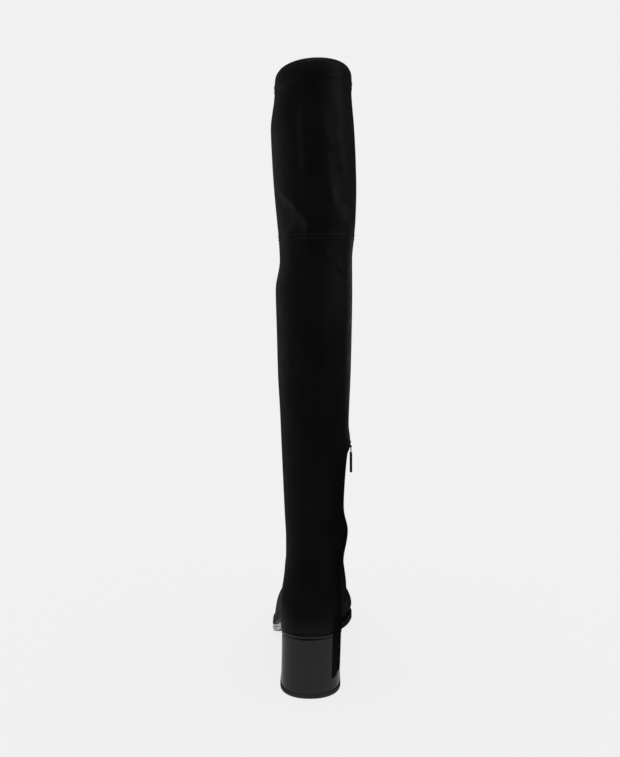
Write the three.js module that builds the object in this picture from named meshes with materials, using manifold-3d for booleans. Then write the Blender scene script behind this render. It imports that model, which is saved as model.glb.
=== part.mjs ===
// Thigh high boot for the left foot: a thin stretch upper on a glossy block heel,
// with a short ankle zip on its inner side.
// Millimetres. The toe points along +Y, the inner (medial) side along +X, the collar along +Z.
import * as THREE from 'three';
import { mergeVertices } from 'three/addons/utils/BufferGeometryUtils.js';
import Module from 'manifold-3d';

const wasm = await Module();
wasm.setup();

// Sole and heel sizes
const SOLE_LENGTH = 244;
const BALL_WIDTH = 93;
const HEEL_WIDTH = 61;
const HEEL_HEIGHT = 67;
const HEEL_CURVE = 28.7;
const TOE_CURVE = 68;
const SEAT_SLOPE = 0.2;
const TOE_SPRING = 7;
const MIDSOLE_THICKNESS = 3.5;
const OUTSOLE_THICKNESS = 5;
const TOP_LIFT_THICKNESS = 4.5;
const INSOLE_THICKNESS = 3;
const SOLE_EDGE_ROUND = 1.2;

// Heel block sizes
const BLOCK_TOP_DEPTH = 60;
const BLOCK_FOOT_DEPTH = 52;
const BLOCK_TOP_WIDTH = 60;
const BLOCK_FOOT_WIDTH = 60;
const BLOCK_SHIFT = 1.7;
const BLOCK_LEAN = 1.8;
const BLOCK_BACK = 0.3;
const BREAST_HOLLOW = 2.5;
const BREAST_CORNER = 5;
const LIFT_OVERHANG = 0.8;

// Upper sizes
const BOOT_HEIGHT = 608;
const KNEE_SEAM_HEIGHT = 453;
const ANKLE_RISE = 88;
const ANKLE_DEPTH = 87;
const ANKLE_SET_FORWARD = 12.5;
const SHAFT_WIDTH = 82;
const SHAFT_DEPTH = 148;
const COLLAR_TILT = 0.01;
const WALL = 1.6;
const MARGIN_WIDTH = 11;
const WELT_WIDTH = 2.2;
const HEM_HEIGHT = 16;
const HEM_RAISE = 0.7;
const HEM_EDGE = 1;
const KNEE_SEAM_WIDTH = 5;
const KNEE_SEAM_RAISE = 0.5;
const BACK_SEAM_WIDTH = 4;
const BACK_SEAM_RAISE = 0.5;
const COUNTER_HEIGHT = 94;
const COUNTER_REACH = 74;
const COUNTER_RAISE = 0.7;
const COUNTER_EDGE = 6;

// Zip sizes
const ZIP_FORWARD = 62;
const ZIP_TOP = 246;
const ZIP_FOOT_RISE = 10;
const ZIP_WIDTH = 6;
const ZIP_RECESS = 0.3;
const ZIP_TAPE_THICKNESS = 1;
const SLIDER_WIDTH = 8;
const SLIDER_LENGTH = 11;
const SLIDER_THICKNESS = 1;
const SLIDER_DROP = 3;
const SLIDER_LIFT = 0.6;
const BRIDGE_RADIUS = 0.4;
const BRIDGE_LENGTH = 5.6;
const LUG_THICKNESS = 1;
const EYE_WALL = 0.4;
const EYE_WIDTH = 3;
const PULL_WIDTH = 6.5;
const PULL_LENGTH = 28;
const PULL_THICKNESS = 1.6;

// Fits
const CLEARANCE = 0.3;
const BRIDGE_CLEARANCE = 0.2;
const INSOLE_FIT = 1;

// Fineness of the meshes
const OUTLINE_STEPS = 48;
const LEG_ROWS = 22;
const THIGH_ROWS = 8;
const ZIP_STEPS = 14;

const LEATHER = { color: 0x0b0b0c, roughness: 0.62, metalness: 0 };
const GLOSS = { color: 0x070707, roughness: 0.15, metalness: 0 };
const RUBBER = { color: 0x0d0d0d, roughness: 0.7, metalness: 0 };
const BOARD = { color: 0x2a2725, roughness: 0.9, metalness: 0 };
const METAL = { color: 0x101011, roughness: 0.35, metalness: 0.6 };

// Sole outline: half widths either side of the heel's centre line, as shares of the local width,
// at the feather line (lateral, medial) and of the foot above it (outer, inner)
const SOLE_SECTIONS = [
  { along: 0.00, lateral: 0.465, medial: 0.519, outer: 0.465, inner: 0.519 },
  { along: 0.12, lateral: 0.473, medial: 0.527, outer: 0.478, inner: 0.537 },
  { along: 0.22, lateral: 0.470, medial: 0.519, outer: 0.460, inner: 0.562 },
  { along: 0.32, lateral: 0.432, medial: 0.420, outer: 0.405, inner: 0.570 },
  { along: 0.42, lateral: 0.395, medial: 0.335, outer: 0.400, inner: 0.520 },
  { along: 0.52, lateral: 0.430, medial: 0.335, outer: 0.410, inner: 0.478 },
  { along: 0.62, lateral: 0.495, medial: 0.380, outer: 0.440, inner: 0.484 },
  { along: 0.70, lateral: 0.500, medial: 0.475, outer: 0.468, inner: 0.522 },
  { along: 0.78, lateral: 0.472, medial: 0.524, outer: 0.458, inner: 0.527 },
  { along: 0.88, lateral: 0.409, medial: 0.494, outer: 0.405, inner: 0.492 },
  { along: 1.00, lateral: 0.312, medial: 0.419, outer: 0.312, inner: 0.419 },
];

// Side view of the sole, as shares of its length: where the seat, shank and tread end
const SEAT_END = 0.25;
const TREAD_START = 0.67;
const TREAD_END = 0.79;
const WIDTH_START = 0.2;
const WIDTH_END = 0.62;

// Front line of the foot: share of the way back from the toe tip to the ankle's front,
// and share of the rise from the sole to the ankle
const FRONT_LINE = [
  { back: 0.000, rise: 0.000 },
  { back: 0.007, rise: 0.080 },
  { back: 0.039, rise: 0.167 },
  { back: 0.109, rise: 0.235 },
  { back: 0.222, rise: 0.287 },
  { back: 0.363, rise: 0.334 },
  { back: 0.504, rise: 0.403 },
  { back: 0.644, rise: 0.497 },
  { back: 0.771, rise: 0.587 },
  { back: 0.884, rise: 0.695 },
  { back: 0.961, rise: 0.833 },
  { back: 1.000, rise: 1.000 },
  { back: 1.150, rise: 1.700 },
  { back: 1.700, rise: 3.000 },
];

// Where each ring of the foot meets the front line, and how far it stands forward at the back,
// as a share of the ankle's set forward
const FOOT_RINGS = [
  { level: 0.00, back: 0.000, forward: 0.10 },
  { level: 0.05, back: 0.007, forward: 0.02 },
  { level: 0.11, back: 0.039, forward: -0.06 },
  { level: 0.18, back: 0.109, forward: -0.09 },
  { level: 0.27, back: 0.222, forward: -0.07 },
  { level: 0.37, back: 0.363, forward: 0.02 },
  { level: 0.48, back: 0.504, forward: 0.14 },
  { level: 0.58, back: 0.644, forward: 0.29 },
  { level: 0.69, back: 0.771, forward: 0.50 },
  { level: 0.80, back: 0.884, forward: 0.72 },
  { level: 0.90, back: 0.961, forward: 0.88 },
  { level: 1.00, back: 1.000, forward: 1.00 },
];

// Shaft sections: level 1 is the ankle, 2 the knee seam and 3 the collar. Lateral and medial are
// shares of SHAFT_WIDTH, depth of SHAFT_DEPTH, and forward of ANKLE_SET_FORWARD
const SHAFT_SECTIONS = [
  { level: 1.00, lateral: 0.297, medial: 0.425, depth: 0.588, forward: 1.00 },
  { level: 1.07, lateral: 0.308, medial: 0.427, depth: 0.578, forward: 1.00 },
  { level: 1.17, lateral: 0.320, medial: 0.444, depth: 0.622, forward: 0.72 },
  { level: 1.31, lateral: 0.336, medial: 0.486, depth: 0.709, forward: 0.24 },
  { level: 1.42, lateral: 0.348, medial: 0.502, depth: 0.757, forward: 0.00 },
  { level: 1.56, lateral: 0.368, medial: 0.525, depth: 0.804, forward: -0.24 },
  { level: 1.70, lateral: 0.375, medial: 0.539, depth: 0.818, forward: -0.24 },
  { level: 1.83, lateral: 0.382, medial: 0.547, depth: 0.797, forward: 0.00 },
  { level: 1.93, lateral: 0.328, medial: 0.547, depth: 0.770, forward: 0.32 },
  { level: 2.00, lateral: 0.338, medial: 0.570, depth: 0.791, forward: 0.32 },
  { level: 2.12, lateral: 0.358, medial: 0.590, depth: 0.838, forward: 0.16 },
  { level: 2.30, lateral: 0.387, medial: 0.600, depth: 0.912, forward: -0.16 },
  { level: 2.48, lateral: 0.406, medial: 0.592, depth: 0.966, forward: -0.40 },
  { level: 2.67, lateral: 0.418, medial: 0.573, depth: 0.993, forward: -0.48 },
  { level: 2.85, lateral: 0.374, medial: 0.543, depth: 0.993, forward: -0.40 },
  { level: 3.00, lateral: 0.346, medial: 0.530, depth: 0.986, forward: -0.32 },
];

// Soft bulges and folds of the upper: place as level and share of the way round from the back
// (a quarter is the inner side), half height as a share of ANKLE_RISE, half width in turns,
// and depth as a share of SHAFT_WIDTH
const SOFT_FORMS = [
  { level: 1.32, around: 0.25, tall: 0.12, wide: 0.10, push: 0.028 },
  { level: 1.00, around: 0.25, tall: 0.16, wide: 0.10, push: 0.055 },
];

// Back line: how far the leg's back turns to the inner side of its centre line, and how far beside
// that the seam runs, as shares of SHAFT_WIDTH
const BACK_SEAM_LINE = [
  { level: 0.0, turn: 0.000, aside: 0.000 },
  { level: 0.2, turn: 0.000, aside: 0.030 },
  { level: 1.0, turn: 0.000, aside: 0.010 },
  { level: 1.5, turn: 0.010, aside: 0.016 },
  { level: 2.0, turn: 0.010, aside: 0.000 },
  { level: 3.0, turn: 0.050, aside: 0.016 },
];

// Sizes worked out from the ones above
const ANKLE_HEIGHT = HEEL_HEIGHT + ANKLE_RISE;
const FLAT_TOP = MIDSOLE_THICKNESS + OUTSOLE_THICKNESS + CLEARANCE;
const FEATHER_BACK = FOOT_RINGS[0].forward * ANKLE_SET_FORWARD;
const FEATHER_FRONT = SOLE_LENGTH - WELT_WIDTH;
const EYE_HOLE = BRIDGE_RADIUS + BRIDGE_CLEARANCE;
const EYE_RADIUS = EYE_HOLE + EYE_WALL;
const BRIDGE_RISE = SLIDER_THICKNESS + BRIDGE_CLEARANCE + EYE_RADIUS;

// Roundness of the outlines: 2 is an ellipse, and more is fuller
const HEEL_FULLNESS = 2.2;
const TOE_FULLNESS = 2.4;
const SHAFT_FULLNESS = 0.97;
const SIDE_ROUND = { start: 2.4, end: 2 };

// Share of the foot's height over which it swells from the sole's outline to its own,
// and level from which its sections turn into the leg's
const FOOT_SWELL = 0.3;
const ELLIPSE_START = 0.3;

// Steps of the numeric work
const TINY = 0.01;
const NORMAL_STEP = 0.004;
const SEARCH_STEPS = 40;
const LOWEST_INSIDE = 0.03;
const SEAM_COLUMNS = 1.6;

// Smooth value of one column of a table at a place along its key column, without overshoot
function lookUp(table, key, name, at) {
  const last = table.length - 1;
  const place = THREE.MathUtils.clamp(at, table[0][key], table[last][key]);
  let row = 0;
  while (row < last - 1 && table[row + 1][key] < place) row += 1;
  const width = (j) => table[j + 1][key] - table[j][key];
  const rise = (j) => (table[j + 1][name] - table[j][name]) / width(j);
  const slope = (j) => {
    if (j === 0) return rise(0);
    if (j === last) return rise(last - 1);
    const product = rise(j - 1) * rise(j);
    return product <= 0 ? 0 : (2 * product) / (rise(j - 1) + rise(j));
  };
  const t = (place - table[row][key]) / width(row);
  const start = slope(row) * width(row);
  const end = slope(row + 1) * width(row);
  const step = table[row + 1][name] - table[row][name];
  const square = 3 * step - 2 * start - end;
  const cube = start + end - 2 * step;
  return table[row][name] + t * start + t * t * square + t ** 3 * cube;
}

// Height of the top of the midsole, on which the upper stands
function soleTop(y) {
  const seatEnd = SEAT_END * SOLE_LENGTH;
  const treadStart = TREAD_START * SOLE_LENGTH;
  const treadEnd = TREAD_END * SOLE_LENGTH;
  if (y < seatEnd) return HEEL_HEIGHT - SEAT_SLOPE * y;
  if (y < treadStart) {
    const t = (y - seatEnd) / (treadStart - seatEnd);
    const drop = HEEL_HEIGHT - SEAT_SLOPE * seatEnd - FLAT_TOP;
    const slope = -SEAT_SLOPE * (treadStart - seatEnd);
    return FLAT_TOP + drop * (1 - 3 * t * t + 2 * t ** 3) + slope * (t - 2 * t * t + t ** 3);
  }
  const spring = Math.max(0, (y - treadEnd) / (SOLE_LENGTH - treadEnd));
  return FLAT_TOP + TOE_SPRING * spring * spring;
}

// Share of a full width left at a distance from a rounded end
function endRound(distance, length, fullness) {
  const u = THREE.MathUtils.clamp(1 - distance / length, 0, 1);
  return (1 - u ** fullness) ** (1 / fullness);
}

// Half width of the sole or foot on one side; side is 1 for the inner side and -1 for the outer
function halfWidth(y, side, above) {
  const along = y / SOLE_LENGTH;
  const grow = THREE.MathUtils.smoothstep(along, WIDTH_START, WIDTH_END);
  const width = THREE.MathUtils.lerp(HEEL_WIDTH, BALL_WIDTH, grow);
  const flat = lookUp(SOLE_SECTIONS, 'along', side > 0 ? 'medial' : 'lateral', along);
  const full = lookUp(SOLE_SECTIONS, 'along', side > 0 ? 'inner' : 'outer', along);
  return width * THREE.MathUtils.lerp(flat, full, above);
}

// Place along the sole at an angle: 0 is the back and a half turn the toe. All layers share the places
// between heel and toe, and only their ends stretch
function station(angle, back, front) {
  const y = THREE.MathUtils.lerp(FEATHER_BACK, FEATHER_FRONT, (1 - Math.cos(angle)) / 2);
  const heel = 1 - THREE.MathUtils.smoothstep(y, FEATHER_BACK, SEAT_END * SOLE_LENGTH);
  const toe = THREE.MathUtils.smoothstep(y, TREAD_END * SOLE_LENGTH, FEATHER_FRONT);
  return y + (back - FEATHER_BACK) * heel + (front - FEATHER_FRONT) * toe;
}

// Point of an outline between two ends that keeps inside the sole's edge, at a place along it
function outlineAt(y, side, { back, front, inset }) {
  const inner = halfWidth(y, 1, 0);
  const outer = halfWidth(y, -1, 0);
  const ends = endRound(y - back, HEEL_CURVE, HEEL_FULLNESS) * endRound(front - y, TOE_CURVE, TOE_FULLNESS);
  return { x: (inner - outer) / 2 + side * ((inner + outer) / 2 - inset(y)) * ends, y };
}

function outlinePoint(angle, ends) {
  return outlineAt(station(angle, ends.back, ends.front), Math.sign(Math.sin(angle)), ends);
}

// Distance of the upper's feather line inside the sole's edge: flush over the heel, a welt at the forefoot
function featherInset(y) {
  return WELT_WIDTH * THREE.MathUtils.smoothstep(y / SOLE_LENGTH, SEAT_END, WIDTH_END);
}

// Front line of the foot at a share of the way back from the toe tip to the ankle's front
function frontPoint(back) {
  const toe = FEATHER_FRONT;
  const ankle = ANKLE_SET_FORWARD + ANKLE_DEPTH;
  const y = toe + (ankle - toe) * back;
  const foot = soleTop(y) + CLEARANCE;
  return { y, z: foot + (ANKLE_HEIGHT - foot) * lookUp(FRONT_LINE, 'back', 'rise', back) };
}

// Height of the foot's ridge over a place on the sole
function ridgeHeight(y) {
  const toe = FEATHER_FRONT;
  return frontPoint((toe - y) / (toe - ANKLE_SET_FORWARD - ANKLE_DEPTH)).z;
}

// Height of a level at the back of the boot
function levelHeight(level) {
  if (level < 1) return THREE.MathUtils.lerp(soleTop(0) + CLEARANCE, ANKLE_HEIGHT, level);
  if (level < 2) return THREE.MathUtils.lerp(ANKLE_HEIGHT, KNEE_SEAM_HEIGHT, level - 1);
  return THREE.MathUtils.lerp(KNEE_SEAM_HEIGHT, BOOT_HEIGHT, level - 2);
}

// Back and front ends of the ring at a level
function ringEnds(level) {
  if (level < 1) {
    const forward = ANKLE_SET_FORWARD * lookUp(FOOT_RINGS, 'level', 'forward', level);
    const front = frontPoint(lookUp(FOOT_RINGS, 'level', 'back', level));
    return { back: { y: forward, z: levelHeight(level) }, front };
  }
  const y = ANKLE_SET_FORWARD * lookUp(SHAFT_SECTIONS, 'level', 'forward', level);
  const depthShare = lookUp(SHAFT_SECTIONS, 'level', 'depth', level) / SHAFT_SECTIONS[0].depth;
  const grow = (depthShare - 1) / (1 / SHAFT_SECTIONS[0].depth - 1);
  const depth = THREE.MathUtils.lerp(ANKLE_DEPTH, SHAFT_DEPTH, grow);
  const z = levelHeight(level);
  const tilt = COLLAR_TILT * depth * THREE.MathUtils.smoothstep(level, 2, 3);
  return { back: { y, z }, front: { y: y + depth, z: z + tilt } };
}

// Point of the leg's section at a level
function shaftX(angle, level) {
  const outer = SHAFT_WIDTH * lookUp(SHAFT_SECTIONS, 'level', 'lateral', level);
  const inner = SHAFT_WIDTH * lookUp(SHAFT_SECTIONS, 'level', 'medial', level);
  const wave = Math.sin(angle);
  const turn = SHAFT_WIDTH * lookUp(BACK_SEAM_LINE, 'level', 'turn', level) * Math.cos(angle);
  const aside = Math.sign(wave) * Math.abs(wave) ** SHAFT_FULLNESS;
  return (inner - outer) / 2 + turn + ((inner + outer) / 2) * aside;
}

// Point of the foot at a place on a ring, from the sole's outline and the height of the ridge
function footX(angle, y, z, back) {
  const foot = soleTop(y) + CLEARANCE;
  const room = ridgeHeight(y) - foot;
  const share = room > TINY ? THREE.MathUtils.clamp((z - foot) / room, 0, 1) : 0;
  const swell = THREE.MathUtils.smoothstep(share, 0, FOOT_SWELL);
  const inner = halfWidth(y, 1, swell);
  const outer = halfWidth(y, -1, swell);
  const half = (inner + outer) / 2 - featherInset(y) * (1 - swell);
  const toe = endRound(FEATHER_FRONT - y, TOE_CURVE, TOE_FULLNESS);
  const heel = endRound(y - back, HEEL_CURVE, HEEL_FULLNESS);
  const narrow = (1 - share ** SIDE_ROUND.start) ** (1 / SIDE_ROUND.end);
  return (inner - outer) / 2 + Math.sign(Math.sin(angle)) * half * heel * toe * narrow;
}

// Push of the soft bulges and folds at a place
function softPush(angle, level) {
  const turn = angle / (2 * Math.PI);
  return SOFT_FORMS.reduce((sum, form) => {
    const aside = Math.abs(turn - form.around);
    const round = Math.min(aside, 1 - aside) / form.wide;
    const high = (levelHeight(level) - levelHeight(form.level)) / (form.tall * ANKLE_RISE);
    return sum + form.push * SHAFT_WIDTH * Math.exp(-round * round - high * high);
  }, 0);
}

// Point of the smooth outer face: angle 0 is the back, a quarter turn the inner side
function skin(angle, level) {
  const { back, front } = ringEnds(level);
  const t = (1 - Math.cos(angle)) / 2;
  const y = THREE.MathUtils.lerp(back.y, front.y, t);
  const flat = THREE.MathUtils.lerp(back.z, front.z, t);
  let z = flat;
  let x = shaftX(angle, level);
  if (level < 1) {
    const blend = THREE.MathUtils.smoothstep(level, 0, 1);
    const over = THREE.MathUtils.lerp(back.z - soleTop(back.y), front.z - soleTop(front.y), t);
    z = THREE.MathUtils.lerp(soleTop(y) + over, flat, blend);
    const leg = THREE.MathUtils.smoothstep(level, ELLIPSE_START, 1);
    x = THREE.MathUtils.lerp(footX(angle, y, z, back.y), x, leg);
  }
  const push = softPush(angle, level);
  return new THREE.Vector3(x + Math.sin(angle) * push, y - Math.cos(angle) * push, z);
}

// Point at a distance outside the smooth outer face
function face(angle, level, distance) {
  const low = Math.max(0, level - NORMAL_STEP);
  const high = Math.min(3, level + NORMAL_STEP);
  const around = skin(angle + NORMAL_STEP, level).sub(skin(angle - NORMAL_STEP, level));
  const up = skin(angle, high).sub(skin(angle, low));
  const normal = around.cross(up).normalize();
  return skin(angle, level).addScaledVector(normal, distance);
}

// Soft step from 0 to 1 where a distance passes zero
function softStep(distance, width) {
  return THREE.MathUtils.smoothstep(distance, -width / 2, width / 2);
}

// Height of a rounded ridge at a distance from its middle
function ridge(distance, width, raise) {
  return raise * Math.exp(-((distance / (width / 2)) ** 2));
}

// Height of the wall's own steps: collar hem, knee seam, back seam and heel counter
function relief(angle, level) {
  const point = skin(angle, level);
  const { back, front } = ringEnds(3);
  const collar = THREE.MathUtils.lerp(back.z, front.z, (point.y - back.y) / (front.y - back.y));
  const hem = HEM_RAISE * softStep(point.z - collar + HEM_HEIGHT, HEM_EDGE);
  const knee = ridge(levelHeight(level) - KNEE_SEAM_HEIGHT, KNEE_SEAM_WIDTH, KNEE_SEAM_RAISE);
  const seamX = point.x - skin(seamAngle(level), level).x;
  const seam = Math.cos(angle) > 0 ? ridge(seamX, BACK_SEAM_WIDTH, BACK_SEAM_RAISE) : 0;
  const forward = Math.max(0, point.y) / COUNTER_REACH;
  const dome = Math.hypot(forward, (point.z - soleTop(point.y)) / COUNTER_HEIGHT);
  const counter = COUNTER_RAISE * softStep((1 - dome) * COUNTER_HEIGHT, COUNTER_EDGE);
  return Math.max(hem, knee, seam, counter);
}

// Angle at which the back seam runs at a level
function seamAngle(level) {
  return 2 * lookUp(BACK_SEAM_LINE, 'level', 'aside', level);
}

// Columns of the upper's mesh: even steps, with closer ones on the back seam, which column 0 follows
function columnAngles() {
  const even = Array.from({ length: OUTLINE_STEPS }, (_, i) => (2 * Math.PI * i) / OUTLINE_STEPS);
  const edge = SEAM_COLUMNS * (BACK_SEAM_WIDTH / SHAFT_WIDTH);
  return [0, edge / 2, edge, ...even.slice(1), 2 * Math.PI - edge, 2 * Math.PI - edge / 2];
}

// Column's angle at a level, bent so that the first one stays on the back seam
function bentAngle(angle, level) {
  return angle + seamAngle(level) * ((1 + Math.cos(angle)) / 2) ** 2;
}

// Levels of the outer face's rows: close at the sole, the knee seam and the hem
function outerLevels() {
  const foot = [0, 0.025, 0.06, 0.11, 0.17, 0.24, 0.32, 0.41, 0.50, 0.59, 0.68, 0.77, 0.86, 0.93];
  const hemStart = 3 - (HEM_HEIGHT + HEM_EDGE) / (BOOT_HEIGHT - KNEE_SEAM_HEIGHT);
  const leg = Array.from({ length: LEG_ROWS }, (_, i) => 1 + i / LEG_ROWS);
  const knee = [-1, -0.5, 0, 0.5, 1].map((k) => {
    const away = k * KNEE_SEAM_WIDTH;
    return 2 + away / (away < 0 ? KNEE_SEAM_HEIGHT - ANKLE_HEIGHT : BOOT_HEIGHT - KNEE_SEAM_HEIGHT);
  });
  const kneeEnd = knee.at(-1);
  const thigh = Array.from({ length: THIGH_ROWS }, (_, i) => (
    THREE.MathUtils.lerp(kneeEnd, hemStart, (i + 1) / (THIGH_ROWS + 1))
  ));
  const hem = [HEM_HEIGHT + HEM_EDGE, HEM_HEIGHT, HEM_HEIGHT - HEM_EDGE, HEM_HEIGHT / 2, 0];
  const top = hem.map((down) => 3 - down / (BOOT_HEIGHT - KNEE_SEAM_HEIGHT));
  return [...foot, ...leg, ...knee, ...thigh, ...top];
}

// Closed mesh from rings of points that run the same way round; loop joins the last ring to the first,
// and otherwise both ends are closed across
function ringSolid(rings, loop) {
  const count = rings[0].length;
  const positions = rings.flat().flatMap((p) => [p.x, p.y, p.z]);
  const faces = [];
  const quad = (a, b, c, d) => faces.push(a, b, c, a, c, d);
  const spans = loop ? rings.length : rings.length - 1;
  for (let k = 0; k < spans; k += 1) {
    const low = k * count;
    const high = ((k + 1) % rings.length) * count;
    for (let i = 0; i < count; i += 1) {
      const next = (i + 1) % count;
      quad(low + i, low + next, high + next, high + i);
    }
  }
  if (!loop) {
    const top = (rings.length - 1) * count;
    for (let i = 0; i < count / 2; i += 1) {
      const far = (count - i) % count;
      const farNext = count - i - 1;
      if (far !== i) faces.push(far, i + 1, i, top + far, top + i, top + i + 1);
      if (farNext !== i + 1) faces.push(far, farNext, i + 1, top + far, top + i + 1, top + farNext);
    }
  }
  const geometry = new THREE.BufferGeometry();
  geometry.setAttribute('position', new THREE.Float32BufferAttribute(positions, 3));
  geometry.setIndex(faces);
  return geometry;
}

// Geometry of a solid with its shared vertices merged, for the boolean tools
function toSolid(geometry) {
  const plain = geometry.clone();
  plain.deleteAttribute('normal');
  plain.deleteAttribute('uv');
  const merged = mergeVertices(plain, 1e-4);
  return new wasm.Manifold(new wasm.Mesh({
    numProp: 3,
    vertProperties: new Float32Array(merged.attributes.position.array),
    triVerts: new Uint32Array(merged.index.array),
  }));
}

function fromSolid(solid) {
  const mesh = solid.getMesh();
  const geometry = new THREE.BufferGeometry();
  geometry.setAttribute('position', new THREE.BufferAttribute(mesh.vertProperties, 3));
  geometry.setIndex(new THREE.BufferAttribute(mesh.triVerts, 1));
  return geometry;
}

function piece(name, geometry, look) {
  geometry.computeVertexNormals();
  const mesh = new THREE.Mesh(geometry, new THREE.MeshStandardMaterial(look));
  mesh.name = name;
  return mesh;
}

// Evenly spaced angles round an outline
function outlineAngles() {
  return Array.from({ length: OUTLINE_STEPS }, (_, i) => (2 * Math.PI * i) / OUTLINE_STEPS);
}

// Layer that follows the sole, between two distances from the sole's top, with rounded edges
function soleLayer(low, high, round, ringAt) {
  const rows = [
    { rise: low, edge: round },
    { rise: low + round, edge: 0 },
    { rise: high - round / 2, edge: 0 },
    { rise: high, edge: round / 2 },
  ];
  const rings = rows.map((row) => (
    ringAt(row.edge).map((point) => new THREE.Vector3(point.x, point.y, soleTop(point.y) + row.rise))
  ));
  return ringSolid(rings, false);
}

function makeMidsole() {
  return soleLayer(-MIDSOLE_THICKNESS, 0, SOLE_EDGE_ROUND / 2, (edge) => {
    const ends = { back: edge, front: SOLE_LENGTH - edge, inset: () => edge };
    return outlineAngles().map((angle) => outlinePoint(angle, ends));
  });
}

// The outsole ends square at the breast of the heel
function makeOutsole() {
  const top = -MIDSOLE_THICKNESS - CLEARANCE;
  return soleLayer(top - OUTSOLE_THICKNESS, top, SOLE_EDGE_ROUND, (edge) => {
    const ends = { back: 0, front: SOLE_LENGTH - edge, inset: () => edge };
    const breast = BLOCK_TOP_DEPTH + CLEARANCE + edge;
    const corner = [1, 0, -1].map((side) => outlineAt(breast, side, ends));
    const points = outlineAngles().map((angle) => outlinePoint(angle, ends));
    const rest = points.filter((point) => point.y > BLOCK_TOP_DEPTH + 2 * SOLE_EDGE_ROUND);
    return [corner[1], corner[0], ...rest, corner[2]];
  });
}

function makeInsole() {
  const low = CLEARANCE + WALL + CLEARANCE;
  return soleLayer(low, low + INSOLE_THICKNESS, INSOLE_THICKNESS / 4, (edge) => {
    const fit = WALL + INSOLE_FIT + edge;
    const ends = { back: FEATHER_BACK + fit, front: FEATHER_FRONT - fit };
    ends.inset = (y) => featherInset(y) + fit;
    return outlineAngles().map((angle) => outlinePoint(angle, ends));
  });
}

// Section of the heel block: a deep curve at the back, and a hollow breast with rounded corners
function blockRing(depth, width, aside, edge, height) {
  const back = BLOCK_BACK + edge;
  const front = depth - edge;
  const half = width / 2 - edge;
  return outlineAngles().map((angle) => {
    const y = back + (front - back) * (1 - Math.cos(angle)) / 2;
    const corner = endRound(front - y, BREAST_CORNER, HEEL_FULLNESS);
    const share = endRound(y - back, HEEL_CURVE, HEEL_FULLNESS) * corner;
    const near = THREE.MathUtils.clamp(1 - (front - y) / BREAST_CORNER, 0, 1);
    const hollow = BREAST_HOLLOW * near * (1 - share * share);
    const x = aside + Math.sign(Math.sin(angle)) * half * share;
    return new THREE.Vector3(x, y - hollow, height(y - hollow));
  });
}

function makeHeelBlock() {
  const bottom = TOP_LIFT_THICKNESS + CLEARANCE;
  const top = (y) => soleTop(y) - MIDSOLE_THICKNESS - CLEARANCE;
  const rows = [0, 0.03, 0.3, 0.6, 0.97, 1];
  const rings = rows.map((up) => {
    const depth = THREE.MathUtils.lerp(BLOCK_FOOT_DEPTH, BLOCK_TOP_DEPTH, up);
    const width = THREE.MathUtils.lerp(BLOCK_FOOT_WIDTH, BLOCK_TOP_WIDTH, up);
    const aside = BLOCK_SHIFT - BLOCK_LEAN * (1 - up);
    const edge = up === 0 || up === 1 ? SOLE_EDGE_ROUND / 2 : 0;
    return blockRing(depth, width, aside, edge, (y) => THREE.MathUtils.lerp(bottom, top(y), up));
  });
  return ringSolid(rings, false);
}

function makeTopLift() {
  const depth = BLOCK_FOOT_DEPTH + LIFT_OVERHANG;
  const width = BLOCK_FOOT_WIDTH + 2 * LIFT_OVERHANG;
  const rows = [
    { z: 0, edge: SOLE_EDGE_ROUND / 2 },
    { z: SOLE_EDGE_ROUND, edge: 0 },
    { z: TOP_LIFT_THICKNESS, edge: 0 },
  ];
  const rings = rows.map((row) => blockRing(depth, width, BLOCK_SHIFT - BLOCK_LEAN, row.edge, () => row.z));
  return ringSolid(rings, false);
}

// Row of the upper's lasting margin, turned in under the foot
function marginRow(angles, inset, rise) {
  const back = FEATHER_BACK + inset;
  const ends = { back, front: FEATHER_FRONT - inset, inset: (y) => featherInset(y) + inset };
  return angles.map((angle) => {
    const point = outlinePoint(bentAngle(angle, 0), ends);
    return new THREE.Vector3(point.x, point.y, soleTop(point.y) + CLEARANCE + rise);
  });
}

function makeUpperShell() {
  const angles = columnAngles();
  const row = (level, distance) => angles.map((angle) => {
    const bent = bentAngle(angle, level);
    return face(bent, level, distance(bent, level));
  });
  const levels = outerLevels();
  const outer = levels.map((level) => row(level, relief));
  const rim = row(3, () => (HEM_RAISE - WALL) / 2).map((p) => p.add(new THREE.Vector3(0, 0, WALL / 3)));
  const inside = levels.filter((level, i) => level > LOWEST_INSIDE && i % 2 === (levels.length - 1) % 2);
  const inner = inside.reverse().map((level) => row(level, () => -WALL));
  const corner = marginRow(angles, WALL, WALL);
  const margin = [WALL, 0].map((rise) => marginRow(angles, MARGIN_WIDTH, rise));
  return ringSolid([...outer, rim, ...inner, corner, ...margin], true);
}

// Angle and level of the inner side's point at a place forward and a height
function locate(y, z) {
  const angleAt = (level) => {
    const { back, front } = ringEnds(level);
    return Math.acos(THREE.MathUtils.clamp(1 - (2 * (y - back.y)) / (front.y - back.y), -1, 1));
  };
  let low = 0;
  let high = 3;
  for (let i = 0; i < SEARCH_STEPS; i += 1) {
    const middle = (low + high) / 2;
    if (skin(angleAt(middle), middle).z < z) low = middle;
    else high = middle;
  }
  return { angle: angleAt(low), level: low };
}

// Band along the zip's line, between two distances from the upper's face
function zipBand(width, ends, near, far) {
  const bottom = soleTop(ZIP_FORWARD) + ZIP_FOOT_RISE - ends;
  const top = ZIP_TOP + ends;
  const rings = Array.from({ length: ZIP_STEPS + 1 }, (_, i) => {
    const z = THREE.MathUtils.lerp(bottom, top, i / ZIP_STEPS);
    const places = [-1, 0, 1].map((side) => locate(ZIP_FORWARD + (side * width) / 2, z));
    const outer = places.map((p) => face(p.angle, p.level, near));
    const inner = places.map((p) => face(p.angle, p.level, far)).reverse();
    return [...outer, ...inner];
  });
  return ringSolid(rings, false);
}

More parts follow.
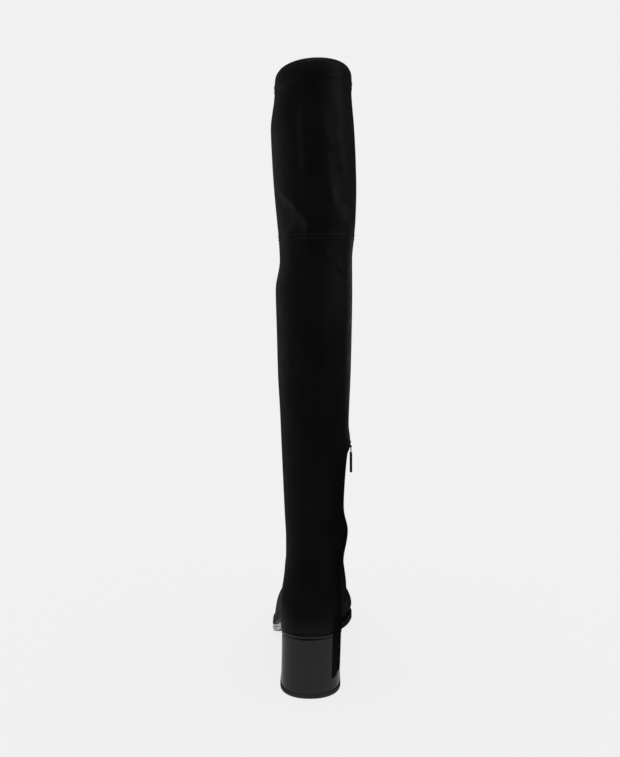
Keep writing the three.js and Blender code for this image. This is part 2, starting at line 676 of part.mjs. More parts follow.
function makeUpper() {
  const slot = zipBand(ZIP_WIDTH + 2 * CLEARANCE, CLEARANCE, 2 * WALL, -2 * WALL);
  return fromSolid(toSolid(makeUpperShell()).subtract(toSolid(slot)));
}

function makeZipTape() {
  return zipBand(ZIP_WIDTH, 0, -ZIP_RECESS, -ZIP_RECESS - ZIP_TAPE_THICKNESS);
}

// Place of the slider on the upper's face, with the way out of the leg and up along the zip
function sliderPlace() {
  const z = ZIP_TOP - SLIDER_DROP;
  const place = locate(ZIP_FORWARD, z);
  const seat = face(place.angle, place.level, SLIDER_LIFT);
  const out = face(place.angle, place.level, 1).sub(skin(place.angle, place.level));
  const lean = Math.atan2(out.z, out.x);
  return { seat, lean };
}

// Rounded outline of the slider and the pull, centred on its own middle
function roundedShape(width, length, radius) {
  const shape = new THREE.Shape();
  const x = width / 2;
  const y = length / 2;
  shape.moveTo(-x + radius, -y);
  shape.lineTo(x - radius, -y);
  shape.absarc(x - radius, -y + radius, radius, -Math.PI / 2, 0);
  shape.lineTo(x, y - radius);
  shape.absarc(x - radius, y - radius, radius, 0, Math.PI / 2);
  shape.lineTo(-x + radius, y);
  shape.absarc(-x + radius, y - radius, radius, Math.PI / 2, Math.PI);
  shape.lineTo(-x, -y + radius);
  shape.absarc(-x + radius, -y + radius, radius, Math.PI, 1.5 * Math.PI);
  return shape;
}

function plate(width, length, thickness, radius) {
  return new THREE.ExtrudeGeometry(roundedShape(width, length, radius), {
    depth: thickness, bevelEnabled: false, curveSegments: 4,
  });
}

// Slider: a rounded shield with two lugs and the bar that the pull hangs from. X runs across the zip,
// Y up along it and Z out of the leg
function makeSlider() {
  const body = toSolid(plate(SLIDER_WIDTH, SLIDER_LENGTH, SLIDER_THICKNESS, SLIDER_WIDTH / 3));
  const bar = new THREE.CylinderGeometry(BRIDGE_RADIUS, BRIDGE_RADIUS, BRIDGE_LENGTH, 12);
  bar.rotateZ(Math.PI / 2).translate(0, 0, BRIDGE_RISE);
  const lugs = [-1, 1].map((side) => {
    const height = BRIDGE_RISE + BRIDGE_RADIUS;
    const lug = new THREE.BoxGeometry(LUG_THICKNESS, 2 * EYE_RADIUS, height);
    lug.translate(side * (BRIDGE_LENGTH - LUG_THICKNESS) / 2, 0, height / 2);
    return toSolid(lug);
  });
  return fromSolid(lugs.reduce((whole, lug) => whole.add(lug), body.add(toSolid(bar))));
}

// Pull: an eye round the bar, a neck and a flat tab that hangs straight down
function makePull() {
  const eye = new THREE.CylinderGeometry(EYE_RADIUS, EYE_RADIUS, EYE_WIDTH, 16);
  eye.rotateZ(Math.PI / 2);
  const hole = new THREE.CylinderGeometry(EYE_HOLE, EYE_HOLE, 2 * EYE_WIDTH, 16);
  hole.rotateZ(Math.PI / 2);
  const tabLength = PULL_LENGTH - 2 * EYE_RADIUS - SLIDER_LENGTH / 2;
  const neckLength = PULL_LENGTH - EYE_RADIUS - tabLength;
  const neck = new THREE.BoxGeometry(EYE_WIDTH, neckLength + EYE_WIDTH, EYE_RADIUS);
  neck.translate(0, -(neckLength + EYE_WIDTH) / 2, 0);
  const tab = plate(PULL_WIDTH, tabLength, PULL_THICKNESS, PULL_WIDTH / 5);
  tab.translate(0, -neckLength - tabLength / 2, -PULL_THICKNESS / 2);
  const whole = toSolid(eye).add(toSolid(neck)).add(toSolid(tab)).subtract(toSolid(hole));
  return fromSolid(whole);
}

const boot = new THREE.Group();
boot.add(piece('midsole', makeMidsole(), GLOSS));
boot.add(piece('outsole', makeOutsole(), GLOSS));
boot.add(piece('heel_block', makeHeelBlock(), GLOSS));
boot.add(piece('top_lift', makeTopLift(), RUBBER));
boot.add(piece('insole', makeInsole(), BOARD));
boot.add(piece('upper', makeUpper(), LEATHER));
boot.add(piece('zip_tape', makeZipTape(), RUBBER));

// The slider lies on the leg, and the pull hangs upright from its bar
const { seat, lean } = sliderPlace();
const outward = new THREE.Vector3(Math.cos(lean), 0, Math.sin(lean));
const upward = new THREE.Vector3(-Math.sin(lean), 0, Math.cos(lean));
const across = new THREE.Vector3(0, 1, 0);
const slider = piece('zip_slider', makeSlider(), METAL);
slider.position.copy(seat);
slider.setRotationFromMatrix(new THREE.Matrix4().makeBasis(across, upward, outward));
boot.add(slider);
const pull = piece('zip_pull', makePull(), METAL);
pull.position.copy(seat).addScaledVector(outward, BRIDGE_RISE);
pull.setRotationFromMatrix(new THREE.Matrix4().makeBasis(
  across, new THREE.Vector3(0, 0, 1), new THREE.Vector3(1, 0, 0),
));
boot.add(pull);

// The origin is the middle of the boot's box, on the floor
const box = new THREE.Box3().setFromObject(boot);
const middle = box.getCenter(new THREE.Vector3());
boot.position.set(-middle.x, -middle.y, -box.min.z);

export default boot;
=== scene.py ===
"""Thigh high boot for the left foot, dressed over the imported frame. Lengths here are millimetres
in the boot's own axes: the toe along +Y, the inner side along +X, the collar along +Z."""
import math
import bpy
import numpy as np
from mathutils import Matrix, Vector


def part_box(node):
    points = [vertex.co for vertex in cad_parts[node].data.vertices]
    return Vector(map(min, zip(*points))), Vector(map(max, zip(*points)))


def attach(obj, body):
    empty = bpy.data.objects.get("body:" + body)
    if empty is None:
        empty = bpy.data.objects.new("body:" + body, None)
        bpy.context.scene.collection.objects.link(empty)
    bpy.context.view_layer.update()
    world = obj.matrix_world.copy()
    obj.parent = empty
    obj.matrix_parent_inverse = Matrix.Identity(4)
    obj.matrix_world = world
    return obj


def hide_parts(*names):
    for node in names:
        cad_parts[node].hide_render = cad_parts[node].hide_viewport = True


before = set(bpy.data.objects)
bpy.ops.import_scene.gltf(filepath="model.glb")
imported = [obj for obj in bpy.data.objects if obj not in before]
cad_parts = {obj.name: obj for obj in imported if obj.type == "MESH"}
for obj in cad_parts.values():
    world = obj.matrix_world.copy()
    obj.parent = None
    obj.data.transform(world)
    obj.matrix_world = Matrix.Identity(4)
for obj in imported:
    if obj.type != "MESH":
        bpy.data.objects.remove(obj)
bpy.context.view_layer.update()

# Sole and heel sizes
SOLE_LENGTH = 244
BALL_WIDTH = 93
HEEL_WIDTH = 61
HEEL_HEIGHT = 67
HEEL_CURVE = 28.7
TOE_CURVE = 68
SEAT_SLOPE = 0.2
TOE_SPRING = 7
MIDSOLE_THICKNESS = 3.5
OUTSOLE_THICKNESS = 5
TOP_LIFT_THICKNESS = 4.5
INSOLE_THICKNESS = 3
BLOCK_TOP_DEPTH = 60
BLOCK_FOOT_DEPTH = 52
BLOCK_TOP_WIDTH = 60
BLOCK_FOOT_WIDTH = 60
BLOCK_SHIFT = 1.7
BLOCK_LEAN = 1.8
BLOCK_BACK = 0.3
BREAST_HOLLOW = 2.5
BREAST_CORNER = 5
LIFT_OVERHANG = 0.8

# Upper sizes
BOOT_HEIGHT = 608
KNEE_SEAM_HEIGHT = 453
ANKLE_RISE = 88
ANKLE_DEPTH = 87
ANKLE_SET_FORWARD = 12.5
SHAFT_WIDTH = 82
SHAFT_DEPTH = 148
COLLAR_TILT = 0.01
WALL = 1.6
MARGIN_WIDTH = 11
WELT_WIDTH = 2.2
HEM_HEIGHT = 16
HEM_RAISE = 0.7
COUNTER_HEIGHT = 94
COUNTER_REACH = 74
COUNTER_RAISE = 0.7
COUNTER_EDGE = 6

# Zip sizes
ZIP_FORWARD = 62
ZIP_TOP = 246
ZIP_FOOT_RISE = 10
ZIP_WIDTH = 6
SLIDER_WIDTH = 8
SLIDER_LENGTH = 11
SLIDER_THICKNESS = 1
SLIDER_DROP = 3
SLIDER_LIFT = 0.6
BRIDGE_RADIUS = 0.4
BRIDGE_LENGTH = 5.6
BRIDGE_CLEARANCE = 0.2
EYE_WALL = 0.4
EYE_WIDTH = 3
PULL_WIDTH = 6.5
PULL_LENGTH = 28
PULL_THICKNESS = 1.6
PULL_PROUD = 0.9

CLEARANCE = 0.3
INSOLE_FIT = 1
ANKLE_HEIGHT = HEEL_HEIGHT + ANKLE_RISE
FLAT_TOP = MIDSOLE_THICKNESS + OUTSOLE_THICKNESS + CLEARANCE
EYE_HOLE = BRIDGE_RADIUS + BRIDGE_CLEARANCE
EYE_RADIUS = EYE_HOLE + EYE_WALL
BRIDGE_RISE = SLIDER_THICKNESS + BRIDGE_CLEARANCE + EYE_RADIUS
SHIN = KNEE_SEAM_HEIGHT - ANKLE_HEIGHT
THIGH = BOOT_HEIGHT - KNEE_SEAM_HEIGHT

# Roundness of the outlines
HEEL_FULLNESS = 2.2
TOE_FULLNESS = 2.4
INSTEP_FULLNESS = 2.4
SHAFT_FULLNESS = 0.97
FOOT_SWELL = 0.3
ELLIPSE_START = 0.3

# Smallest share, step for a normal, and halvings of a search
TINY = 0.01
NORMAL_STEP = 0.004
SEARCH_STEPS = 34

# Sole outline as shares of the local width
SOLE_SECTIONS = {
    "along": [0.00, 0.12, 0.22, 0.32, 0.42, 0.52, 0.62, 0.70, 0.78, 0.88, 1.00],
    "lateral": [0.465, 0.473, 0.470, 0.432, 0.395, 0.430, 0.495, 0.500, 0.472, 0.409, 0.312],
    "medial": [0.519, 0.527, 0.519, 0.420, 0.335, 0.335, 0.380, 0.475, 0.524, 0.494, 0.419],
    "outer": [0.465, 0.478, 0.460, 0.405, 0.400, 0.410, 0.440, 0.468, 0.458, 0.405, 0.312],
    "inner": [0.519, 0.537, 0.562, 0.570, 0.520, 0.478, 0.484, 0.522, 0.527, 0.492, 0.419],
}
SEAT_END = 0.25
TREAD_START = 0.67
TREAD_END = 0.79
WIDTH_START = 0.2
WIDTH_END = 0.62

# Front line of the foot, rings of the foot, sections of the leg and the back line
FRONT_LINE = {
    "back": [0.000, 0.007, 0.039, 0.109, 0.222, 0.363, 0.504, 0.644, 0.771, 0.884, 0.961, 1.000, 1.150, 1.700],
    "rise": [0.000, 0.080, 0.167, 0.235, 0.287, 0.334, 0.403, 0.497, 0.587, 0.695, 0.833, 1.000, 1.700, 3.000],
}
FOOT_RINGS = {
    "level": [0.00, 0.05, 0.11, 0.18, 0.27, 0.37, 0.48, 0.58, 0.69, 0.80, 0.90, 1.00],
    "back": [0.000, 0.007, 0.039, 0.109, 0.222, 0.363, 0.504, 0.644, 0.771, 0.884, 0.961, 1.000],
    "forward": [0.10, 0.02, -0.06, -0.09, -0.07, 0.02, 0.14, 0.29, 0.50, 0.72, 0.88, 1.00],
}
SHAFT_SECTIONS = {
    "level": [1.00, 1.07, 1.17, 1.31, 1.42, 1.56, 1.70, 1.83, 1.93, 2.00, 2.12, 2.30, 2.48, 2.67, 2.85, 3.00],
    "lateral": [0.297, 0.308, 0.320, 0.336, 0.348, 0.368, 0.375, 0.382, 0.328, 0.338, 0.358, 0.387, 0.406,
                0.418, 0.374, 0.346],
    "medial": [0.425, 0.427, 0.444, 0.486, 0.502, 0.525, 0.539, 0.547, 0.547, 0.570, 0.590, 0.600, 0.592,
               0.573, 0.543, 0.530],
    "depth": [0.588, 0.578, 0.622, 0.709, 0.757, 0.804, 0.818, 0.797, 0.770, 0.791, 0.838, 0.912, 0.966,
              0.993, 0.993, 0.986],
    "forward": [1.00, 1.00, 0.72, 0.24, 0.00, -0.24, -0.24, 0.00, 0.32, 0.32, 0.16, -0.16, -0.40,
                -0.48, -0.40, -0.32],
}
SOFT_FORMS = [
    {"level": 1.32, "around": 0.25, "tall": 0.12, "wide": 0.10, "push": 0.028},
    {"level": 1.00, "around": 0.25, "tall": 0.16, "wide": 0.10, "push": 0.055},
]
BACK_SEAM_LINE = {
    "level": [0.0, 0.2, 1.0, 1.5, 2.0, 3.0],
    "turn": [0.000, 0.000, 0.000, 0.010, 0.010, 0.050],
    "aside": [0.000, 0.030, 0.010, 0.016, 0.000, 0.016],
}


def look_up(table, key, name, at):
    """Smooth value of one column of a table, without overshoot."""
    keys = np.array(table[key], float)
    values = np.array(table[name], float)
    width = np.diff(keys)
    rise = np.diff(values) / width
    slope = np.empty(len(keys))
    slope[0], slope[-1] = rise[0], rise[-1]
    product = rise[:-1] * rise[1:]
    total = rise[:-1] + rise[1:]
    slope[1:-1] = np.where(product <= 0, 0, 2 * product / np.where(total == 0, 1, total))
    place = np.clip(np.asarray(at, float), keys[0], keys[-1])
    row = np.clip(np.searchsorted(keys, place, side="left") - 1, 0, len(keys) - 2)
    t = (place - keys[row]) / width[row]
    start, end = slope[row] * width[row], slope[row + 1] * width[row]
    step = values[row + 1] - values[row]
    return values[row] + t * start + t * t * (3 * step - 2 * start - end) + t ** 3 * (start + end - 2 * step)


def smooth(x, low, high):
    t = np.clip((np.asarray(x, float) - low) / (high - low), 0, 1)
    return t * t * (3 - 2 * t)


def mix(a, b, t):
    return a + (b - a) * t


def dome(distance):
    """Soft bump that falls off from 1 as a distance over its half width grows."""
    return np.exp(-(distance ** 2))


def sole_top(y):
    y = np.asarray(y, float)
    seat_end, tread_start, tread_end = (s * SOLE_LENGTH for s in (SEAT_END, TREAD_START, TREAD_END))
    t = np.clip((y - seat_end) / (tread_start - seat_end), 0, 1)
    drop = HEEL_HEIGHT - SEAT_SLOPE * seat_end - FLAT_TOP
    slope = -SEAT_SLOPE * (tread_start - seat_end)
    shank = FLAT_TOP + drop * (1 - 3 * t * t + 2 * t ** 3) + slope * (t - 2 * t * t + t ** 3)
    spring = np.maximum(0, (y - tread_end) / (SOLE_LENGTH - tread_end))
    tread = FLAT_TOP + TOE_SPRING * spring * spring
    return np.where(y < seat_end, HEEL_HEIGHT - SEAT_SLOPE * y, np.where(y < tread_start, shank, tread))


def end_round(distance, length, fullness):
    u = np.clip(1 - distance / length, 0, 1)
    return (1 - u ** fullness) ** (1 / fullness)


def half_width(y, side, above):
    along = np.asarray(y, float) / SOLE_LENGTH
    width = mix(HEEL_WIDTH, BALL_WIDTH, smooth(along, WIDTH_START, WIDTH_END))
    flat = look_up(SOLE_SECTIONS, "along", "medial" if side > 0 else "lateral", along)
    full = look_up(SOLE_SECTIONS, "along", "inner" if side > 0 else "outer", along)
    return width * mix(flat, full, above)


FEATHER_BACK = FOOT_RINGS["forward"][0] * ANKLE_SET_FORWARD
FEATHER_FRONT = SOLE_LENGTH - WELT_WIDTH


def station(angle, back, front):
    y = mix(FEATHER_BACK, FEATHER_FRONT, (1 - np.cos(angle)) / 2)
    heel = 1 - smooth(y, FEATHER_BACK, SEAT_END * SOLE_LENGTH)
    toe = smooth(y, TREAD_END * SOLE_LENGTH, FEATHER_FRONT)
    return y + (back - FEATHER_BACK) * heel + (front - FEATHER_FRONT) * toe


def outline_at(y, side, back, front, inset):
    inner, outer = half_width(y, 1, 0), half_width(y, -1, 0)
    ends = end_round(y - back, HEEL_CURVE, HEEL_FULLNESS) * end_round(front - y, TOE_CURVE, TOE_FULLNESS)
    return (inner - outer) / 2 + side * ((inner + outer) / 2 - inset) * ends


def feather_inset(y):
    return WELT_WIDTH * smooth(np.asarray(y, float) / SOLE_LENGTH, SEAT_END, WIDTH_END)


def layer_ring(angle, back, front, inset, rise, feather=0):
    """Ring at a height over the line of the sole, set in from its outline, and with feather 1 from
    the line where the upper meets the sole."""
    y = station(angle, back, front)
    x = outline_at(y, np.sign(np.sin(angle)), back, front, feather * feather_inset(y) + inset)
    return np.stack([x, y, sole_top(y) + rise], -1)


def front_point(back):
    toe, ankle = FEATHER_FRONT, ANKLE_SET_FORWARD + ANKLE_DEPTH
    y = toe + (ankle - toe) * back
    foot = sole_top(y) + CLEARANCE
    return y, foot + (ANKLE_HEIGHT - foot) * look_up(FRONT_LINE, "back", "rise", back)


def ridge_height(y):
    toe = FEATHER_FRONT
    return front_point((toe - y) / (toe - ANKLE_SET_FORWARD - ANKLE_DEPTH))[1]


def level_height(level):
    """Height of a level: 0 is the sole, 1 the ankle, 2 the knee seam and 3 the collar."""
    level = np.asarray(level, float)
    foot = mix(sole_top(0) + CLEARANCE, ANKLE_HEIGHT, level)
    shin = mix(ANKLE_HEIGHT, KNEE_SEAM_HEIGHT, level - 1)
    thigh = mix(KNEE_SEAM_HEIGHT, BOOT_HEIGHT, level - 2)
    return np.where(level < 1, foot, np.where(level < 2, shin, thigh))


def ring_ends(level):
    level = np.asarray(level, float)
    front_y, front_z = front_point(look_up(FOOT_RINGS, "level", "back", level))
    foot_y = ANKLE_SET_FORWARD * look_up(FOOT_RINGS, "level", "forward", level)
    leg_y = ANKLE_SET_FORWARD * look_up(SHAFT_SECTIONS, "level", "forward", level)
    first = SHAFT_SECTIONS["depth"][0]
    grow = (look_up(SHAFT_SECTIONS, "level", "depth", level) / first - 1) / (1 / first - 1)
    depth = mix(ANKLE_DEPTH, SHAFT_DEPTH, grow)
    z = level_height(level)
    tilt = COLLAR_TILT * depth * smooth(level, 2, 3)
    foot = level < 1
    back_y = np.where(foot, foot_y, leg_y)
    return back_y, z, np.where(foot, front_y, leg_y + depth), np.where(foot, front_z, z + tilt)


def shaft_x(angle, level):
    outer = SHAFT_WIDTH * look_up(SHAFT_SECTIONS, "level", "lateral", level)
    inner = SHAFT_WIDTH * look_up(SHAFT_SECTIONS, "level", "medial", level)
    wave = np.sin(angle)
    turn = SHAFT_WIDTH * look_up(BACK_SEAM_LINE, "level", "turn", level) * np.cos(angle)
    return (inner - outer) / 2 + turn + (inner + outer) / 2 * np.sign(wave) * np.abs(wave) ** SHAFT_FULLNESS


def foot_x(angle, y, z, back):
    foot = sole_top(y) + CLEARANCE
    room = ridge_height(y) - foot
    share = np.where(room > TINY, np.clip((z - foot) / np.where(room > TINY, room, 1), 0, 1), 0)
    swell = smooth(share, 0, FOOT_SWELL)
    inner, outer = half_width(y, 1, swell), half_width(y, -1, swell)
    half = (inner + outer) / 2 - feather_inset(y) * (1 - swell)
    toe = end_round(FEATHER_FRONT - y, TOE_CURVE, TOE_FULLNESS)
    heel = end_round(y - back, HEEL_CURVE, HEEL_FULLNESS)
    narrow = (1 - share ** INSTEP_FULLNESS) ** 0.5
    return (inner - outer) / 2 + np.sign(np.sin(angle)) * half * heel * toe * narrow


def soft_push(angle, level):
    turn = angle / (2 * math.pi)
    push = np.zeros(np.broadcast(angle, level).shape)
    for form in SOFT_FORMS:
        aside = np.abs(turn - form["around"])
        round_ = np.minimum(aside, 1 - aside) / form["wide"]
        high = (level_height(level) - level_height(form["level"])) / (form["tall"] * ANKLE_RISE)
        push = push + form["push"] * SHAFT_WIDTH * np.exp(-round_ ** 2 - high ** 2)
    return push


def skin(angle, level):
    """Point of the smooth outer face: angle 0 is the back, a quarter turn the inner side."""
    back_y, back_z, front_y, front_z = ring_ends(level)
    t = (1 - np.cos(angle)) / 2
    y = mix(back_y, front_y, t)
    flat = mix(back_z, front_z, t)
    over = mix(back_z - sole_top(back_y), front_z - sole_top(front_y), t)
    foot_z = mix(sole_top(y) + over, flat, smooth(level, 0, 1))
    z = np.where(level < 1, foot_z, flat)
    x = shaft_x(angle, level)
    foot = mix(foot_x(angle, y, z, back_y), x, smooth(level, ELLIPSE_START, 1))
    x = np.where(level < 1, foot, x)
    push = soft_push(angle, level)
    return np.stack([x + np.sin(angle) * push, y - np.cos(angle) * push, z], -1)


def outward(angle, level):
    around = skin(angle + NORMAL_STEP, level) - skin(angle - NORMAL_STEP, level)
    up = skin(angle, np.minimum(3, level + NORMAL_STEP)) - skin(angle, np.maximum(0, level - NORMAL_STEP))
    normal = np.cross(around, up)
    return normal / np.maximum(np.linalg.norm(normal, axis=-1, keepdims=True), 1e-9)


def face(angle, level, distance):
    angle, level = np.broadcast_arrays(np.asarray(angle, float), np.asarray(level, float))
    return skin(angle, level) + outward(angle, level) * np.asarray(distance)[..., None]


def seam_angle(level):
    return 2 * look_up(BACK_SEAM_LINE, "level", "aside", level)


def bent(angle, level):
    return angle + seam_angle(level) * ((1 + np.cos(angle)) / 2) ** 2


def locate(y, z):
    """Angles and levels of the inner side's points at places forward and heights."""
    y, z = np.broadcast_arrays(np.asarray(y, float), np.asarray(z, float))
    low, high = np.zeros(y.shape), np.full(y.shape, 3.0)
    for _ in range(SEARCH_STEPS):
        level = (low + high) / 2
        back_y, _back_z, front_y, _front_z = ring_ends(level)
        angle = np.arccos(np.clip(1 - 2 * (y - back_y) / (front_y - back_y), -1, 1))
        under = skin(angle, level)[..., 2] < z
        low, high = np.where(under, level, low), np.where(under, high, level)
    return angle, level


# Creases and folds of the leather, listed one by one. Each runs through points given as share of the
# way round from the back (a quarter is the inner side, three quarters the outer) and level; wide is
# its half width in millimetres on each side of the line, and push its height, negative for a trough.
# A fold is steep on one side, soft is how round its crest is, start is where round the leg it begins,
# fade is the share of its length that it takes to rise, and a last key, where given, is how much
# highlight is painted into the leather's colour on the crease, standing in for the light it catches
CREASES = [
    # Knee, outer side: a flat facet under a crisp diagonal crest that ends at the knee seam
    {"line": [(0.762, 2.363), (0.810, 2.323), (0.850, 2.283), (0.895, 2.210), (0.928, 2.150), (0.948, 2.115),
              (0.960, 2.085), (0.960, 2.045), (0.958, 2.006)], "fold": 1, "wide": 10.0, "push": 1.9, "soft": 0.8,
     "fade": 0.10, "start": (-0.21, -0.12), "highlight_paint": 1.0},
    {"line": [(0.780, 2.357), (0.842, 2.283), (0.868, 2.208), (0.872, 2.16)], "wide": (2.4, 3.6), "push": 0.5},
    {"line": [(0.900, 2.250), (0.912, 2.158), (0.905, 2.087), (0.885, 2.047), (0.858, 2.007), (0.825, 1.980),
              (0.800, 1.955)], "fold": 1, "wide": 6.0, "push": 0.4, "soft": 1.0, "fade": 0.25, "highlight_paint": 0.45},
    # Inner side: one long fold from the thigh down to the seam, with a short steep streak beside it
    {"line": [(0.036, 2.560), (0.038, 2.520), (0.048, 2.410), (0.058, 2.280), (0.072, 2.212), (0.085, 2.163),
              (0.110, 2.118), (0.143, 2.080), (0.182, 2.047)], "fold": -1, "wide": 9.0, "push": 1.3, "soft": 3.0,
     "fade": 0.25, "highlight_paint": 0.25},
    {"line": [(0.066, 2.290), (0.072, 2.212), (0.088, 2.155)], "wide": (4.0, 2.0), "push": 0.7, "fade": 0.3,
     "highlight_paint": 0.9},
    {"line": [(0.110, 2.20), (0.130, 2.15), (0.160, 2.10)], "wide": (6.0, 6.0), "push": 0.3, "highlight_paint": 0.6},
    {"line": [(0.100, 2.42), (0.098, 2.333), (0.088, 2.262)], "wide": (5.0, 8.0), "push": -0.7},
    # Thigh: long soft forms at the back
    {"line": [(0.948, 2.76), (0.948, 2.605), (0.950, 2.493), (0.958, 2.348)], "wide": (3.2, 4.0), "push": 0.7,
     "fade": 0.2, "highlight_paint": 0.55},
    {"line": [(0.885, 2.60), (0.925, 2.49), (0.935, 2.43)], "wide": (4.0, 6.0), "push": 0.6},
    {"line": [(0.050, 2.76), (0.054, 2.66), (0.060, 2.56)], "wide": (6.0, 10.0), "push": -1.2},
    {"line": [(0.022, 2.60), (0.050, 2.53), (0.070, 2.47)], "wide": (4.5, 5.5), "push": 0.7},
    {"line": [(0.060, 2.56), (0.122, 2.54)], "wide": (5.0, 5.0), "push": 0.6},
    {"line": [(0.76, 2.93), (0.83, 2.86), (0.90, 2.83)], "wide": (2.5, 3.5), "push": -0.6},
    # Hollow of the knee, under the seam
    {"line": [(0.945, 1.955), (0.997, 1.958), (0.040, 1.970)], "wide": (1.8, 2.4), "push": -0.7},
    {"line": [(0.870, 1.950), (0.930, 1.935), (0.978, 1.948)], "wide": (4.0, 5.0), "push": -1.2},
    {"line": [(0.008, 1.948), (0.037, 1.940), (0.075, 1.930)], "wide": (5.0, 5.0), "push": 1.0},
    {"line": [(0.067, 1.925), (0.127, 1.893), (0.185, 1.903)], "wide": (3.5, 5.0), "push": 0.8},
    # Above the counter
    {"line": [(0.925, 1.025), (0.988, 1.045), (0.070, 1.030)], "wide": (3.0, 4.0), "push": -0.5},
]
USUAL_FADE = 0.35
# Painted highlight on a fold's lit facet: how soft its edge at the crest is, and how far it reaches, in millimetres
HIGHLIGHT_PAINT_EDGE = 0.8
HIGHLIGHT_PAINT_REACH = 18

# Bands of painted highlight under the rim, where its edge would catch light: how strong, how far down,
# and over what length
RIM_HIGHLIGHT_PAINT = [(0.9, 4.5, 2.5), (0.35, 10, 5)]


def surface_flat(angle, level):
    """Place of a point on the unrolled leg: way round in millimetres and height."""
    back_y, _back_z, front_y, _front_z = ring_ends(level)
    girth = math.pi * (SHAFT_WIDTH / 2 + (front_y - back_y) / 2)
    return angle / (2 * math.pi) * girth, level_height(level)


def crease_line(crease):
    """Points of a crease on the unrolled leg."""
    points = []
    for around, at in crease["line"]:
        around = around - 1 if around > 0.5 else around
        points.append(surface_flat(np.float64(around * 2 * math.pi), np.float64(at)))
    return np.array(points, float)


def nearest(points, across, up):
    """Distance to a line through points, way along it, its whole length, and the side."""
    lengths = np.linalg.norm(np.diff(points, axis=0), axis=1)
    run = np.concatenate([[0], np.cumsum(lengths)])
    best = np.full(np.shape(across), 1e9)
    along, side = np.zeros(np.shape(across)), np.zeros(np.shape(across))
    for k, length in enumerate(lengths):
        start = points[k]
        way = (points[k + 1] - start) / length
        t = np.clip((across - start[0]) * way[0] + (up - start[1]) * way[1], 0, length)
        x, z = start[0] + t * way[0] - across, start[1] + t * way[1] - up
        away = np.hypot(x, z)
        near = away < best
        best = np.where(near, away, best)
        along = np.where(near, run[k] + t, along)
        side = np.where(near, np.sign(way[0] * z - way[1] * x), side)
    return best, along, run[-1], side


def crease_forms(angle, level):
    """Height of all creases at places on the leg, and how much highlight is painted into the leather's colour there."""
    turn = np.mod(angle / (2 * math.pi), 1)
    turn = np.where(turn > 0.5, turn - 1, turn)
    across, up = surface_flat(turn * 2 * math.pi, level)
    total, highlight_paint = np.zeros(np.shape(across)), np.zeros(np.shape(across))
    for crease in CREASES:
        away, along, length, side = nearest(crease_line(crease), across, up)
        fade = crease.get("fade", USUAL_FADE) * length
        ends = smooth(along, 0, fade) * smooth(length - along, 0, fade)
        if "fold" in crease:
            edge = away * side * crease["fold"]
            off = 0.5 * (edge + np.sqrt(edge * edge + crease["soft"] ** 2)) / crease["wide"]
            deep = ends * smooth(turn, *crease["start"]) if "start" in crease else ends
            total = total - crease["push"] * off * np.exp((1 - off * off) / 2) * deep
            # Painted highlight on the fold's lit facet, strongest at the crest and fading away from it
            form = smooth(edge, -HIGHLIGHT_PAINT_EDGE, HIGHLIGHT_PAINT_EDGE) * np.exp(-np.maximum(edge, 0) / HIGHLIGHT_PAINT_REACH) * ends
        else:
            form = dome(away / np.where(side > 0, crease["wide"][0], crease["wide"][1])) * ends
            total = total + crease["push"] * form
        # Add this crease's painted highlight
        highlight_paint = highlight_paint + crease.get("highlight_paint", 0) * form
    # Painted highlight in bands under the rim
    for amount, drop, reach in RIM_HIGHLIGHT_PAINT:
        highlight_paint = highlight_paint + amount * smooth(drop - (BOOT_HEIGHT - up), 0, reach)
    return total, np.clip(highlight_paint, 0, 1)


def crease_push(angle, level):
    return crease_forms(angle, level)[0]


def frame_shift():
    """Way from the boot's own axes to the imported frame, whose origin is the middle of its box."""
    angle = np.linspace(0, 2 * math.pi, 721)
    edge = layer_ring(angle, 0, SOLE_LENGTH, 0, 0)[:, 0]
    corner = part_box("midsole")[0]
    return np.array([corner.x * 1000 - edge.min(), corner.y * 1000, 0.0])


SHIFT = frame_shift()


def to_frame(points):
    return (np.asarray(points, float) + SHIFT) / 1000


# Mesh helpers
def make_object(name, vertices, faces, materials, face_slots=None, sharp=40.0):
    """Object from vertices in the boot's millimetres; edges over the sharp angle stay crisp."""
    mesh = bpy.data.meshes.new(name)
    mesh.from_pydata(to_frame(vertices).tolist(), [], [list(f) for f in faces])
    for material in materials:
        mesh.materials.append(material)
    mesh.polygons.foreach_set("use_smooth", np.ones(len(mesh.polygons), bool))
    if face_slots is not None:
        mesh.polygons.foreach_set("material_index", np.asarray(face_slots, np.int32))
    mesh.update()
    mesh.set_sharp_from_angle(angle=math.radians(sharp))
    obj = bpy.data.objects.new(name, mesh)
    bpy.context.scene.collection.objects.link(obj)
    return obj


def loop_faces(rows, count, closed=False):
    """Quads between rings of points that run the same way round."""
    spans = rows if closed else rows - 1
    k, i = np.meshgrid(np.arange(spans), np.arange(count), indexing="ij")
    low, high = k * count, ((k + 1) % rows) * count
    after = (i + 1) % count
    return np.stack([low + i, low + after, high + after, high + i], -1).reshape(-1, 4).tolist()


def bar_faces(rows, count):
    """Quads between rings, with one face over each end."""
    ends = [list(range(count))[::-1], [(rows - 1) * count + k for k in range(count)]]
    return loop_faces(rows, count) + ends


def cap_faces(count, base, up):
    """Strips straight across a ring whose points i and count - i lie opposite each other."""
    faces = []
    for i in range(count // 2):
        far, far_next = (count - i) % count, count - i - 1
        if far == i:
            quad = [i, i + 1, far_next]
        elif far_next == i + 1:
            quad = [far, i, i + 1]
        else:
            quad = [far, i, i + 1, far_next]
        faces.append([base + q for q in (quad if up else quad[::-1])])
    return faces


